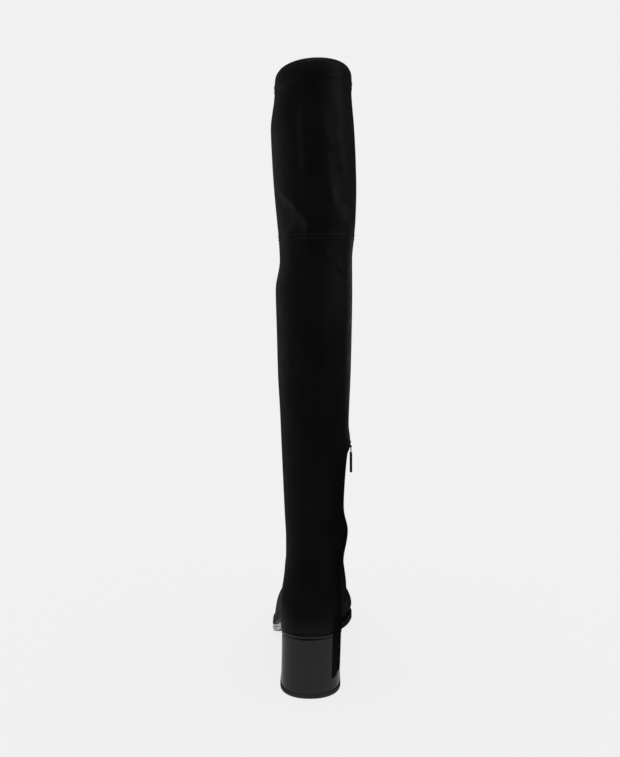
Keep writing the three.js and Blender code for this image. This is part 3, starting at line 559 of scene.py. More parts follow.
def ring_object(name, rings, materials, bottom_slot=0):
    """Solid through rings of points from the bottom up, closed across at both ends."""
    rings = np.asarray(rings, float)
    rows, count = rings.shape[:2]
    sides, bottom, top = loop_faces(rows, count), cap_faces(count, 0, False), cap_faces(count, (rows - 1) * count, True)
    marks = [0] * len(sides) + [bottom_slot] * len(bottom) + [0] * len(top)
    return make_object(name, rings.reshape(-1, 3), sides + bottom + top, materials, marks)


def merged(parts):
    """Vertices and faces of several parts as one."""
    vertices, faces = [], []
    for points, part_faces in parts:
        base = len(vertices)
        vertices += list(points)
        faces += [[base + q for q in f] for f in part_faces]
    return np.array(vertices), faces


# Material helpers
def new_material(name, kind):
    """Material with one shader of a kind, linked to its output."""
    material = bpy.data.materials.new(name)
    material.use_nodes = True
    tree = material.node_tree
    tree.nodes.clear()
    output = tree.nodes.new("ShaderNodeOutputMaterial")
    shader = tree.nodes.new(kind)
    tree.links.new(shader.outputs[0], output.inputs["Surface"])
    return material, tree, shader


def noise(tree, scale, detail=3.0, stretch=None):
    """Noise in the boot's own coordinates; scale is in waves per metre."""
    source = tree.nodes.new("ShaderNodeTexCoord").outputs["Object"]
    if stretch:
        mapping = tree.nodes.new("ShaderNodeMapping")
        mapping.inputs["Scale"].default_value = stretch
        tree.links.new(source, mapping.inputs["Vector"])
        source = mapping.outputs["Vector"]
    node = tree.nodes.new("ShaderNodeTexNoise")
    node.inputs["Scale"].default_value = scale
    node.inputs["Detail"].default_value = detail
    node.inputs["Roughness"].default_value = 0.55
    tree.links.new(source, node.inputs["Vector"])
    return node.outputs["Fac"]


def cells(tree, scale):
    node = tree.nodes.new("ShaderNodeTexVoronoi")
    node.inputs["Scale"].default_value = scale
    tree.links.new(tree.nodes.new("ShaderNodeTexCoord").outputs["Object"], node.inputs["Vector"])
    return node.outputs["Distance"]


def bands(tree, scale, direction):
    node = tree.nodes.new("ShaderNodeTexWave")
    node.bands_direction = direction
    node.inputs["Scale"].default_value = scale
    tree.links.new(tree.nodes.new("ShaderNodeTexCoord").outputs["Object"], node.inputs["Vector"])
    return node.outputs["Fac"]


PATTERNS = {"noise": noise, "cells": cells, "bands": bands}


def pattern(tree, facts):
    return PATTERNS[facts[0]](tree, *facts[1:])


def grey(value, tint=(1.0, 1.0, 1.0)):
    return (value * tint[0], value * tint[1], value * tint[2], 1.0)


def ramp(tree, source, low, high, margin):
    """Colour that goes from low to high, leaving out a margin at each end of the pattern."""
    node = tree.nodes.new("ShaderNodeValToRGB")
    for element, position, colour in zip(node.color_ramp.elements, (margin, 1 - margin), (low, high)):
        element.position = position
        element.color = colour
    tree.links.new(source, node.inputs["Fac"])
    return node.outputs["Color"]


def spread(tree, source, low, high):
    node = tree.nodes.new("ShaderNodeMapRange")
    for key, value in (("From Min", 0.3), ("From Max", 0.7), ("To Min", low), ("To Max", high)):
        node.inputs[key].default_value = value
    tree.links.new(source, node.inputs["Value"])
    return node.outputs["Result"]


def bump(tree, source, strength, distance, before):
    node = tree.nodes.new("ShaderNodeBump")
    node.inputs["Strength"].default_value = strength
    node.inputs["Distance"].default_value = distance
    tree.links.new(source, node.inputs["Height"])
    if before is not None:
        tree.links.new(before, node.inputs["Normal"])
    return node.outputs["Normal"]


def surface(name, tone, colours, gloss, roughness, bumps, specular=0.5, metallic=0.0, painted_highlight=None):
    """Material whose colour goes between two colours along one pattern, and its roughness between two
    values along another. Each bump is a pattern, a strength and a depth in metres. The colour given
    last is a painted highlight, mixed in where the mesh's own layer of the same name says so."""
    material, tree, shader = new_material(name, "ShaderNodeBsdfPrincipled")
    colour = ramp(tree, pattern(tree, tone), *colours, 0.2 if tone[0] == "bands" else 0.3)
    # Painted highlight: a lighter base colour mixed in by the mesh's own layer
    if painted_highlight:
        layer = tree.nodes.new("ShaderNodeAttribute")
        layer.attribute_name = "painted_highlight"
        blend = tree.nodes.new("ShaderNodeMix")
        blend.data_type = "RGBA"
        tree.links.new(layer.outputs["Fac"], blend.inputs["Factor"])
        tree.links.new(colour, blend.inputs[6])
        blend.inputs[7].default_value = painted_highlight
        colour = blend.outputs[2]
    tree.links.new(colour, shader.inputs["Base Color"])
    tree.links.new(spread(tree, pattern(tree, gloss), *roughness), shader.inputs["Roughness"])
    normal = None
    for form, strength, depth in bumps:
        normal = bump(tree, pattern(tree, form), strength, depth, normal)
    tree.links.new(normal, shader.inputs["Normal"])
    shader.inputs["Specular IOR Level"].default_value = specular
    shader.inputs["Metallic"].default_value = metallic
    return material


# Leather: a fine pebble, a finer grain in it and long soft unevenness, and a painted highlight:
# a lighter colour on crease facets and under the rim
LEATHER = surface(
    "stretch_leather", ("noise", 35, 4.0), (grey(0.0028, (1, 1, 1.02)), grey(0.0042, (1, 1, 1.04))),
    ("noise", 90), (0.34, 0.44),
    [(("cells", 1500), 0.12, 0.00012), (("noise", 3200, 2.0), 0.10, 0.00008),
     (("noise", 60, 3.0, (1.0, 1.0, 0.45)), 0.25, 0.0009)],
    specular=0.1, painted_highlight=grey(0.0085, (1, 1, 1.02)))

# Lining: a matte woven cloth
LINING = surface(
    "lining", ("noise", 60), (grey(0.011, (1.04, 1, 0.96)), grey(0.017, (1.05, 1, 0.95))),
    ("noise", 400, 2.0), (0.75, 0.9), [(("cells", 1800), 0.25, 0.0001)], specular=0.25)


def lacquer(name, tone, roughness, wave):
    """Glossy black with a faint waviness."""
    return surface(
        name, ("noise", 25, 2.0), (grey(tone), grey(tone * 1.5)), ("noise", 160, 4.0),
        (roughness, roughness + 0.05), [(("noise", 45, 2.0, (1.0, 1.0, 0.35)), wave, 0.002)])


EDGE = lacquer("sole_edge_gloss", 0.003, 0.14, 0.02)
LACQUER = lacquer("heel_lacquer", 0.0035, 0.06, 0.05)

# Top lift: matte rubber
RUBBER = surface(
    "lift_rubber", ("noise", 120, 4.0), (grey(0.006), grey(0.012)), ("noise", 300), (0.5, 0.68),
    [(("noise", 1500), 0.2, 0.0001)])

# Underside of the outsole: a fine pebble
UNDERSIDE = surface(
    "sole_underside", ("noise", 70, 4.0), (grey(0.010), grey(0.018)), ("noise", 200), (0.5, 0.7),
    [(("cells", 700), 0.35, 0.0002)])

# Sock that covers the insole
SOCK = surface(
    "insole_sock", ("noise", 50, 4.0), (grey(0.012, (1.05, 1, 0.95)), grey(0.02, (1.06, 1, 0.94))),
    ("noise", 200), (0.6, 0.75), [(("cells", 1300), 0.2, 0.0001)])

# Slider and pull tab: black painted metal
METAL = surface(
    "black_metal", ("noise", 400), (grey(0.006), grey(0.010, (1, 1, 1.05))), ("noise", 900), (0.25, 0.4),
    [(("noise", 2500, 2.0), 0.06, 0.00005)], specular=0.35, metallic=0.1)

# Zip's tape and coil: ribs across the zip
RIBS = ("bands", 600, "Z")
TAPE = surface(
    "zip_tape", RIBS, (grey(0.006), grey(0.012)), ("noise", 500, 2.0), (0.65, 0.8), [(RIBS, 0.3, 0.0001)])


def thread(name, low, high):
    """Twisted thread, from a dark to a paler grey."""
    twist = ("bands", 1500, "DIAGONAL")
    return surface(
        name, twist, (grey(low), grey(high)), ("noise", 900, 2.0), (0.4, 0.55), [(twist, 0.3, 0.00008)])


THREAD = thread("thread", 0.008, 0.018)
HEM_THREAD = thread("hem_thread", 0.004, 0.008)

# Upper: the outer face at fine steps, a rolled rim, the lining and the lasting margin.
# Columns are even round the leg, with close ones beside the groove of the back seam
EVEN_COLUMNS = 271
CLOSE_COLUMNS = np.array([0.004, 0.009, 0.0145])
CLOSE_END = 0.02

# Rows at the knee seam and at the hem, as distances from the seam and down from the rim
KNEE_ROWS = np.array([-5, -3.6, -2.6, -1.8, -1.2, -0.8, -0.5, -0.2, 0, 0.2, 0.5, 0.8, 1.2, 1.8, 2.6, 3.6, 5.0])
HEM_ROWS = np.array([20, 18.4, 17.2, 16.5, 16, 15.6, 15.2, 14.6, 13.4, 11.6, 9, 6.6, 4.4, 2.6, 1.4, 0.6, 0])

# Hem: where its step starts and ends, and the groove of its lower stitches
HEM_STEP = (-2.2, 1.4)
HEM_GROOVE_DROP = 2.2
HEM_GROOVE_HALF = 0.7
HEM_GROOVE_DEPTH = 0.14
HEM_REACH = 20
COLLAR_ROLL = 1.6
COLLAR_ROLL_HEIGHT = 4.0
RIM_RISE = 0.6

# Seams: the ridge of each and the groove in it, as half widths
KNEE_RIDGE_HALF = 2.5
KNEE_RIDGE_RAISE = 0.40
KNEE_GROOVE_HALF = 0.5
KNEE_GROOVE_DEPTH = 0.35
BACK_RIDGE_HALF = 1.3
BACK_RIDGE_RAISE = 0.32
BACK_GROOVE_HALF = 0.35
BACK_GROOVE_DEPTH = 0.12

# Zip's channel: its depth, its edge, and the lip of leather beside it
CHANNEL_DEPTH = 1.0
CHANNEL_EDGE = 1.4
CHANNEL_SPARE = 0.9
CHANNEL_ENDS = (-1.5, 0.5)
LIP_RAISE = 0.45
LIP_ASIDE = 2.0
LIP_HALF = 1.6
ZIP_BOTTOM = float(sole_top(ZIP_FORWARD)) + ZIP_FOOT_RISE


def upper_columns():
    even = np.linspace(0, 2 * math.pi, EVEN_COLUMNS, endpoint=False)
    keep = even[(even > CLOSE_END) & (even < 2 * math.pi - CLOSE_END)]
    return np.concatenate([[0], CLOSE_COLUMNS, keep, 2 * math.pi - CLOSE_COLUMNS[::-1]])


def upper_levels():
    foot = np.concatenate([np.linspace(0, 0.06, 7), np.linspace(0.075, 1, 50)])
    leg = np.linspace(1, 2, 112)[1:-3]
    knee = 2 + np.where(KNEE_ROWS < 0, KNEE_ROWS / SHIN, KNEE_ROWS / THIGH)
    hem = 3 - HEM_ROWS / THIGH
    thigh = np.linspace(knee[-1], hem[0], 64)[1:-1]
    return np.concatenate([foot, leg, knee, thigh, hem])


def relief(angle, level):
    """Hem, seams and counter of the outer face."""
    point = skin(angle, level)
    back_y, back_z, front_y, front_z = ring_ends(3.0)
    down = mix(back_z, front_z, (point[..., 1] - back_y) / (front_y - back_y)) - point[..., 2]
    hem = HEM_RAISE * smooth(HEM_HEIGHT - down, *HEM_STEP)
    groove = HEM_GROOVE_DEPTH * dome((down - HEM_HEIGHT + HEM_GROOVE_DROP) / HEM_GROOVE_HALF)
    hem = hem - groove * (down < HEM_REACH)
    roll = COLLAR_ROLL * np.clip(1 - down / COLLAR_ROLL_HEIGHT, 0, 1) ** 2
    edge = level_height(level) - KNEE_SEAM_HEIGHT
    knee = KNEE_RIDGE_RAISE * dome(edge / KNEE_RIDGE_HALF) - KNEE_GROOVE_DEPTH * dome(edge / KNEE_GROOVE_HALF)
    aside = point[..., 0] - skin(seam_angle(level), level)[..., 0]
    seam = BACK_RIDGE_RAISE * dome(aside / BACK_RIDGE_HALF) - BACK_GROOVE_DEPTH * dome(aside / BACK_GROOVE_HALF)
    seam = np.where(np.cos(angle) > 0, seam, 0)
    forward = np.maximum(0, point[..., 1]) / COUNTER_REACH
    away = np.hypot(forward, (point[..., 2] - sole_top(point[..., 1])) / COUNTER_HEIGHT)
    counter = COUNTER_RAISE * smooth((1 - away) * COUNTER_HEIGHT, -COUNTER_EDGE / 2, COUNTER_EDGE / 2)
    return np.maximum(np.maximum(hem, counter), 0) - roll + knee * (down > HEM_REACH) + seam


def zip_recess(angle, level):
    """Depth of the zip's channel, with a rounded lip at each side."""
    point = skin(angle, level)
    inner = (np.sin(angle) > 0) & (np.abs(np.cos(angle)) < 0.8)
    off = np.abs(point[..., 1] - ZIP_FORWARD)
    high = smooth(point[..., 2] - ZIP_BOTTOM, *CHANNEL_ENDS) * smooth(ZIP_TOP - point[..., 2], *CHANNEL_ENDS)
    channel = -CHANNEL_DEPTH * smooth(ZIP_WIDTH / 2 + CHANNEL_SPARE - off, 0, CHANNEL_EDGE)
    lip = LIP_RAISE * dome((off - ZIP_WIDTH / 2 - LIP_ASIDE) / LIP_HALF)
    return np.where(inner, (channel + lip) * high, 0)


def rim_rings(angles):
    """Half a turn over the rim, from the outer face to the lining."""
    top = np.full(len(angles), 3.0)
    rings = []
    for turn in np.linspace(0, math.pi, 7)[1:-1]:
        out = mix(HEM_RAISE - COLLAR_ROLL, -WALL - COLLAR_ROLL / 2, (1 - math.cos(turn)) / 2)
        ring = face(bent(angles, top), top, np.full(len(angles), out))
        ring[:, 2] += RIM_RISE * math.sin(turn)
        rings.append(ring)
    return np.array(rings)


def lining_rings(angles):
    """Inner face from the rim down to the sole."""
    levels = np.concatenate([np.linspace(3, 2.5, 9), np.linspace(2.48, 1.88, 26), np.linspace(1.86, 1, 16),
                             np.linspace(1, 0.03, 19)[1:]])
    rings = []
    for at in levels:
        level = np.full(len(angles), at)
        angle = bent(angles, level)
        rings.append(face(angle, level, crease_push(angle, level) - WALL - COLLAR_ROLL / 2 * (at == 3)))
    return np.array(rings)


def margin_rings(angles):
    """Lasting margin, turned in under the foot."""
    angle = bent(angles, np.zeros(len(angles)))
    rings = []
    for inset, rise in ((WALL, WALL), (MARGIN_WIDTH, WALL), (MARGIN_WIDTH, 0.0)):
        rings.append(layer_ring(angle, FEATHER_BACK + inset, FEATHER_FRONT - inset, inset, CLEARANCE + rise, 1))
    return np.array(rings)


def make_upper():
    angles = upper_columns()
    level, angle = np.meshgrid(upper_levels(), angles, indexing="ij")
    angle = bent(angle, level)
    push, highlight_paint = crease_forms(angle, level)
    outer = face(angle, level, relief(angle, level) + zip_recess(angle, level) + push)
    rim = rim_rings(angles)
    rings = np.concatenate([outer, rim, lining_rings(angles), margin_rings(angles)])
    rows, count = rings.shape[:2]
    lined = np.repeat(np.arange(rows), count) >= len(outer) + len(rim) - 1
    faces = loop_faces(rows, count, closed=True)
    boot = make_object("boot_upper", rings.reshape(-1, 3), faces, [LEATHER, LINING], lined.astype(int), 60)
    # Layer of painted highlight: how much lighter colour the leather gets on crease facets and under the rim
    layer = boot.data.attributes.new("painted_highlight", "FLOAT", "POINT")
    layer.data.foreach_set("value", np.concatenate([highlight_paint.ravel(), np.zeros((rows - len(outer)) * count)]))
    return boot


upper = make_upper()
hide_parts("upper")
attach(upper, "root")

# Stitches: small rounded loops joined into one mesh. Each is thin at its ends and half sunk there
STITCH_SIDES = 6
STITCH_RINGS = 5
STITCH_FINE = 1400
STITCH_ENDS = 0.45
STITCH_SUNK = 0.12
STITCH_ARCH = 0.28


def make_stitches(name, places, directions, normals, length, thick, material):
    faces = bar_faces(STITCH_RINGS, STITCH_SIDES)
    parts = []
    for place, along, out in zip(places, directions, normals):
        side = np.cross(out, along)
        points = []
        for t in np.linspace(0, 1, STITCH_RINGS):
            sway = math.sin(math.pi * t)
            size = thick / 2 * (STITCH_ENDS + (1 - STITCH_ENDS) * sway)
            centre = place + along * (t - 0.5) * length + out * thick * (STITCH_ARCH * sway - STITCH_SUNK)
            for turn in np.linspace(0, 2 * math.pi, STITCH_SIDES, endpoint=False):
                points.append(centre + side * math.cos(turn) * size + out * math.sin(turn) * size)
        parts.append((points, faces))
    return make_object(name, *merged(parts), [material], None, 60)


def ring_stitches(name, at, pitch, length, thick, lift, material):
    """Stitches round the upper at a level, set a pitch apart."""
    angle = np.linspace(0, 2 * math.pi, STITCH_FINE)
    level = np.full(STITCH_FINE, at)
    line = face(angle, level, relief(angle, level) + crease_push(angle, level) + lift)
    out = outward(angle, level)
    run = np.concatenate([[0], np.cumsum(np.linalg.norm(np.diff(line, axis=0), axis=1))])
    count = int(run[-1] // pitch)
    where = (np.arange(count) + 0.5) * run[-1] / count

    def sample(values, way):
        return np.stack([np.interp(way, run, values[:, k]) for k in range(3)], -1)

    along = sample(line, where + 0.5) - sample(line, where - 0.5)
    along /= np.linalg.norm(along, axis=1, keepdims=True)
    normal = sample(out, where)
    normal -= along * np.sum(normal * along, axis=1, keepdims=True)
    normal /= np.linalg.norm(normal, axis=1, keepdims=True)
    return make_stitches(name, sample(line, where), along, normal, length, thick, material)


# Rows of stitches: level, pitch, length and thickness of a stitch, lift over the leather, and thread
HEM_STITCH_DROP = HEM_HEIGHT - 5.0
KNEE_STITCH_ASIDE = 1.9
STITCH_ROWS = {
    "hem_stitches": (3 - HEM_STITCH_DROP / THIGH, 3.4, 1.8, 0.6, 0.1, HEM_THREAD),
    "knee_stitches_upper": (2 + KNEE_STITCH_ASIDE / THIGH, 3.3, 1.9, 0.55, 0.06, THREAD),
    "knee_stitches_lower": (2 - KNEE_STITCH_ASIDE / SHIN, 3.3, 1.9, 0.55, 0.06, THREAD),
}
for row_name, row_facts in STITCH_ROWS.items():
    stitches = ring_stitches(row_name, *row_facts)
    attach(stitches, "root")

# Sole layers, heel block and top lift
OUTLINE = 288
OUTLINE_ANGLES = np.linspace(0, 2 * math.pi, OUTLINE, endpoint=False)
EDGE_STEPS = 5


def edge_rows(low, high, round_low, round_high):
    """Rise and inset of the rows of a rounded edge."""
    turns = np.linspace(0, math.pi / 2, EDGE_STEPS)
    rows = [(low + round_low * (1 - math.cos(t)), round_low * (1 - math.sin(t))) for t in turns]
    rows += [(high - round_high * (1 - math.cos(t)), round_high * (1 - math.sin(t))) for t in turns[::-1]]
    return rows


midsole = ring_object("boot_midsole", [
    layer_ring(OUTLINE_ANGLES, edge, SOLE_LENGTH - edge, edge, rise)
    for rise, edge in edge_rows(-MIDSOLE_THICKNESS, 0, 0.15, 0.5)
], [EDGE])
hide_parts("midsole")
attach(midsole, "root")

# The outsole's edge starts this far in front of the heel block
BREAST_START = 3


def outsole_ring(edge, rise):
    """Ring of the outsole: straight across behind, at the heel block, and then the sole's outline."""
    ring = layer_ring(OUTLINE_ANGLES, 0, SOLE_LENGTH - edge, edge, rise)
    breast = np.float64(BLOCK_TOP_DEPTH + CLEARANCE + edge)
    half = OUTLINE // 2
    first = int(np.argmax(ring[:half, 1] > BLOCK_TOP_DEPTH + BREAST_START))
    outer, middle, inner = (outline_at(breast, side, 0, SOLE_LENGTH - edge, edge) for side in (-1, 0, 1))

    def corner(x, share):
        return [mix(float(middle), float(x), share), breast, float(sole_top(breast)) + rise]

    start = [corner(inner, share) for share in (0, 0.5, 1)]
    end = [corner(outer, share) for share in (1, 0.5)]
    return np.concatenate([start, ring[first:half + 1], ring[half + 1:OUTLINE - first + 1], end])


OUTSOLE_TOP = -MIDSOLE_THICKNESS - CLEARANCE
outsole = ring_object("boot_outsole", [
    outsole_ring(edge, rise)
    for rise, edge in edge_rows(OUTSOLE_TOP - OUTSOLE_THICKNESS, OUTSOLE_TOP, 1.2, 0.4)
], [EDGE, UNDERSIDE], bottom_slot=1)
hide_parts("outsole")
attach(outsole, "root")


def insole_ring(edge, rise):
    fit = WALL + INSOLE_FIT + edge
    return layer_ring(OUTLINE_ANGLES, FEATHER_BACK + fit, FEATHER_FRONT - fit, fit, rise, 1)


INSOLE_LOW = CLEARANCE + WALL + CLEARANCE
insole = ring_object("boot_insole", [
    insole_ring(edge, rise) for rise, edge in edge_rows(INSOLE_LOW, INSOLE_LOW + INSOLE_THICKNESS, 0.4, 1.0)
], [SOCK])
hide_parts("insole")
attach(insole, "root")


def block_outline(depth, width, aside, edge):
    """Ring of the heel block: a round back, straight sides and a hollow breast."""
    back, front, half = BLOCK_BACK + edge, depth - edge, width / 2 - edge
    y = back + (front - back) * (1 - np.cos(OUTLINE_ANGLES)) / 2
    corner = end_round(front - y, BREAST_CORNER, HEEL_FULLNESS)
    share = end_round(y - back, HEEL_CURVE, HEEL_FULLNESS) * corner
    near = np.clip(1 - (front - y) / BREAST_CORNER, 0, 1)
    return aside + np.sign(np.sin(OUTLINE_ANGLES)) * half * share, y - BREAST_HOLLOW * near * (1 - share * share)


# Rows of the block as share of its height, and its fine edge as share of this radius
BLOCK_EDGE = 0.15
BLOCK_ROWS = [(0, 1), (0.004, 0.3), (0.012, 0)]
BLOCK_ROWS += [(up, 0) for up in np.linspace(0.05, 0.95, 12)]
BLOCK_ROWS += [(0.988, 0), (0.996, 0.3), (1, 1)]


def make_block():
    rings = []
    for up, share in BLOCK_ROWS:
        depth = mix(BLOCK_FOOT_DEPTH, BLOCK_TOP_DEPTH, up)
        width = mix(BLOCK_FOOT_WIDTH, BLOCK_TOP_WIDTH, up)
        x, y = block_outline(depth, width, BLOCK_SHIFT - BLOCK_LEAN * (1 - up), BLOCK_EDGE * share)
        top = sole_top(y) - MIDSOLE_THICKNESS - CLEARANCE
        rings.append(np.stack([x, y, mix(TOP_LIFT_THICKNESS + CLEARANCE, top, up)], -1))
    return ring_object("boot_heel_block", rings, [LACQUER])


def make_lift():
    depth, width = BLOCK_FOOT_DEPTH + LIFT_OVERHANG, BLOCK_FOOT_WIDTH + 2 * LIFT_OVERHANG
    rings = []
    for height, edge in edge_rows(0, TOP_LIFT_THICKNESS, 0.8, 0.1):
        x, y = block_outline(depth, width, BLOCK_SHIFT - BLOCK_LEAN, edge)
        rings.append(np.stack([x, y, np.full(OUTLINE, height)], -1))
    return ring_object("boot_top_lift", rings, [RUBBER])


block = make_block()
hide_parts("heel_block")
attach(block, "root")

lift = make_lift()
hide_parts("top_lift")
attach(lift, "root")

# Zip: the tape in its channel and the closed coil. The tape's section runs across the zip and out
TAPE_SECTION = np.array([(-3.0, -0.75), (-1.5, -0.7), (0, -0.7), (1.5, -0.7), (3.0, -0.75),
                         (3.0, -1.3), (0, -1.3), (-3.0, -1.3)])
TAPE_ROWS = 90
COIL_PITCH = 1.3
COIL_TOOTH = (2.1, 0.85, 0.8)
COIL_BEVEL = 0.22
COIL_ASIDE = 0.75
COIL_DEPTH = 0.42


def rounded_box(size, place, axes, bevel):
    """Points and faces of a box with cut corners, for small joined pieces."""
    hx, hy, hz = (s / 2 for s in size)
    points = []
    for z, inset in ((-hz, bevel), (-hz + bevel, 0), (hz - bevel, 0), (hz, bevel)):
        x, y = hx - inset, hy - inset
        for px, py in ((-x + bevel, -y), (x - bevel, -y), (x, -y + bevel), (x, y - bevel),
                       (x - bevel, y), (-x + bevel, y), (-x, y - bevel), (-x, -y + bevel)):
            points.append(place + axes[0] * px + axes[1] * py + axes[2] * z)
    return points, bar_faces(4, 8)


def make_tape():
    angle, level = locate(ZIP_FORWARD + TAPE_SECTION[:, 0], np.linspace(ZIP_BOTTOM, ZIP_TOP, TAPE_ROWS)[:, None])
    rings = face(angle, level, np.broadcast_to(TAPE_SECTION[:, 1], angle.shape))
    return make_object("zip_tape_band", rings.reshape(-1, 3), bar_faces(*angle.shape), [TAPE], None, 50)


def make_coil():
    parts = []
    heights = np.arange(ZIP_BOTTOM + 1, ZIP_TOP - SLIDER_DROP - SLIDER_LENGTH / 2, COIL_PITCH)
    for side, raised in ((-1, 0), (1, COIL_PITCH / 2)):
        angle, level = locate(ZIP_FORWARD + side * COIL_ASIDE, heights + raised)
        places = face(angle, level, np.full(angle.shape, -COIL_DEPTH))
        for place, out in zip(places, outward(angle, level)):
            up = np.array([0, 0, 1.0]) - out * out[2]
            up /= np.linalg.norm(up)
            parts.append(rounded_box(COIL_TOOTH, place, (np.cross(up, out), up, out), COIL_BEVEL))
    return make_object("zip_coil", *merged(parts), [TAPE], None, 50)


tape = make_tape()
coil = make_coil()
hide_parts("zip_tape")
for piece in (tape, coil):
    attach(piece, "root")

# Slider and pull: both from rounded plates; X runs across the zip, Y up along it, Z out of the leg
CORNER_STEPS = 8
BAR_STEPS = 20
SLIDER_BEVEL = 0.35
LUG_WIDTH = 1.0
LUG_BEVEL = 0.15
NECK_BEVEL = 0.2
PULL_BEVEL = 0.4


def plate_ring(width, length, radius, inset, z):
    r = max(radius - inset, 0.05)
    hx, hy = width / 2 - inset - r, length / 2 - inset - r
    points = []
    for cx, cy, start in ((hx, hy, 0), (-hx, hy, 1), (-hx, -hy, 2), (hx, -hy, 3)):
        for k in range(CORNER_STEPS + 1):
            a = (start + k / CORNER_STEPS) * math.pi / 2
            points.append([cx + r * math.cos(a), cy + r * math.sin(a), z])
    return points


def plate_mesh(width, length, thickness, radius, bevel, centre):
    rings = []
    for side, turns in ((-1, np.linspace(0, math.pi / 2, 4)), (1, np.linspace(math.pi / 2, 0, 4))):
        for t in turns:
            z = side * (thickness / 2 - bevel * (1 - math.cos(t)))
            rings.append(plate_ring(width, length, radius, bevel * (1 - math.sin(t)), z))
    rings = np.array(rings) + np.array(centre)
    return rings.reshape(-1, 3), bar_faces(*rings.shape[:2])


def bar_mesh(radius, length, centre, hole=0.0):
    """Round bar along X, or a tube of it with a hole."""
    bevel = min(radius * 0.25, 0.12)
    profile = [(radius - bevel, -length / 2), (radius, -length / 2 + bevel), (radius, length / 2 - bevel),
               (radius - bevel, length / 2)]
    if hole:
        profile += [(hole, length / 2), (hole, -length / 2)]
    angle = np.linspace(0, 2 * math.pi, BAR_STEPS, endpoint=False)
    rings = np.array([[[x, r * math.cos(a), r * math.sin(a)] for a in angle] for r, x in profile])
    rings = rings + np.array(centre)
    rows = len(profile)
    faces = loop_faces(rows, BAR_STEPS, closed=True) if hole else bar_faces(rows, BAR_STEPS)
    return rings.reshape(-1, 3), faces


def joined(name, parts, place, axes):
    local, faces = merged(parts)
    world = place + local[:, :1] * axes[0] + local[:, 1:2] * axes[1] + local[:, 2:] * axes[2]
    return make_object(name, world, faces, [METAL])


slider_angle, slider_level = locate(ZIP_FORWARD, ZIP_TOP - SLIDER_DROP)
seat = face(slider_angle, slider_level, np.float64(SLIDER_LIFT))
seat_out = outward(slider_angle, slider_level)
slider_lean = math.atan2(seat_out[2], seat_out[0])
OUTWARD = np.array([math.cos(slider_lean), 0, math.sin(slider_lean)])
UPWARD = np.array([-math.sin(slider_lean), 0, math.cos(slider_lean)])
ACROSS = np.array([0, 1.0, 0])
UPRIGHT = np.array([0, 0, 1.0])
INWARD = np.array([1.0, 0, 0])

lug_rise = BRIDGE_RISE + BRIDGE_RADIUS
slider_parts = [
    plate_mesh(SLIDER_WIDTH, SLIDER_LENGTH, SLIDER_THICKNESS, SLIDER_WIDTH / 3, SLIDER_BEVEL,
               (0, 0, SLIDER_THICKNESS / 2)),
    bar_mesh(BRIDGE_RADIUS, BRIDGE_LENGTH, (0, 0, BRIDGE_RISE)),
]
for side in (-1, 1):
    lug_place = np.array([side * (BRIDGE_LENGTH - LUG_WIDTH) / 2, 0, lug_rise / 2])
    slider_parts.append(rounded_box((LUG_WIDTH, 2 * EYE_RADIUS, lug_rise), lug_place, np.eye(3), LUG_BEVEL))
slider = joined("zip_slider_body", slider_parts, seat, (ACROSS, UPWARD, OUTWARD))
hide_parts("zip_slider")
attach(slider, "root")

tab_length = PULL_LENGTH - 2 * EYE_RADIUS - SLIDER_LENGTH / 2
neck_length = PULL_LENGTH - EYE_RADIUS - tab_length
neck_place = np.array([0, -(neck_length + EYE_WIDTH) / 2 - EYE_HOLE * 0.9, 0])
pull_parts = [
    bar_mesh(EYE_RADIUS, EYE_WIDTH, (0, 0, 0), hole=EYE_HOLE),
    rounded_box((EYE_WIDTH, neck_length + EYE_WIDTH, EYE_RADIUS), neck_place, np.eye(3), NECK_BEVEL),
    plate_mesh(PULL_WIDTH, tab_length, PULL_THICKNESS + PULL_PROUD, PULL_WIDTH / 5, PULL_BEVEL,
               (0, -neck_length - tab_length / 2, 0)),
]
pull = joined("zip_pull_tab", pull_parts, seat + OUTWARD * BRIDGE_RISE, (ACROSS, UPRIGHT, INWARD))
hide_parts("zip_pull")
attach(pull, "pull")

# Stage: a pale floor with a plain pale surround. Lengths from here on are metres
PALE = 0.88
FLOOR_GLOW = 0.9
FLOOR_RADIUS = 40.0
FLOOR_DROP = 0.0002
FLOOR_STEPS = 96


def glow_material(name, strength):
    material, tree, glow = new_material(name, "ShaderNodeEmission")
    glow.inputs["Strength"].default_value = strength
    return material, tree, glow


def stage_piece(name, vertices, faces, material):
    mesh = bpy.data.meshes.new(name)
    mesh.from_pydata(vertices, [], faces)
    mesh.materials.append(material)
    obj = bpy.data.objects.new(name, mesh)
    bpy.context.scene.collection.objects.link(obj)
    return obj


def floor_material():
    """Even glow with a little matte, which takes a faint shadow."""
    material, tree, glow = glow_material("pale_floor", PALE * FLOOR_GLOW)
    matte = tree.nodes.new("ShaderNodeBsdfDiffuse")
    matte.inputs["Color"].default_value = grey(0.1)
    add = tree.nodes.new("ShaderNodeAddShader")
    output = glow.outputs[0].links[0].to_socket
    tree.links.new(glow.outputs[0], add.inputs[0])
    tree.links.new(matte.outputs[0], add.inputs[1])
    tree.links.new(add.outputs[0], output)
    return material


floor_turns = [2 * math.pi * k / FLOOR_STEPS for k in range(FLOOR_STEPS)]
floor_ring = [(FLOOR_RADIUS * math.cos(a), FLOOR_RADIUS * math.sin(a), -FLOOR_DROP) for a in floor_turns]
stage_piece("pale_floor", floor_ring, [list(range(FLOOR_STEPS))], floor_material())

world = bpy.data.worlds.new("pale_surround")
bpy.context.scene.world = world
world.use_nodes = True
world.node_tree.nodes["Background"].inputs["Color"].default_value = grey(1.0)
world.node_tree.nodes["Background"].inputs["Strength"].default_value = PALE


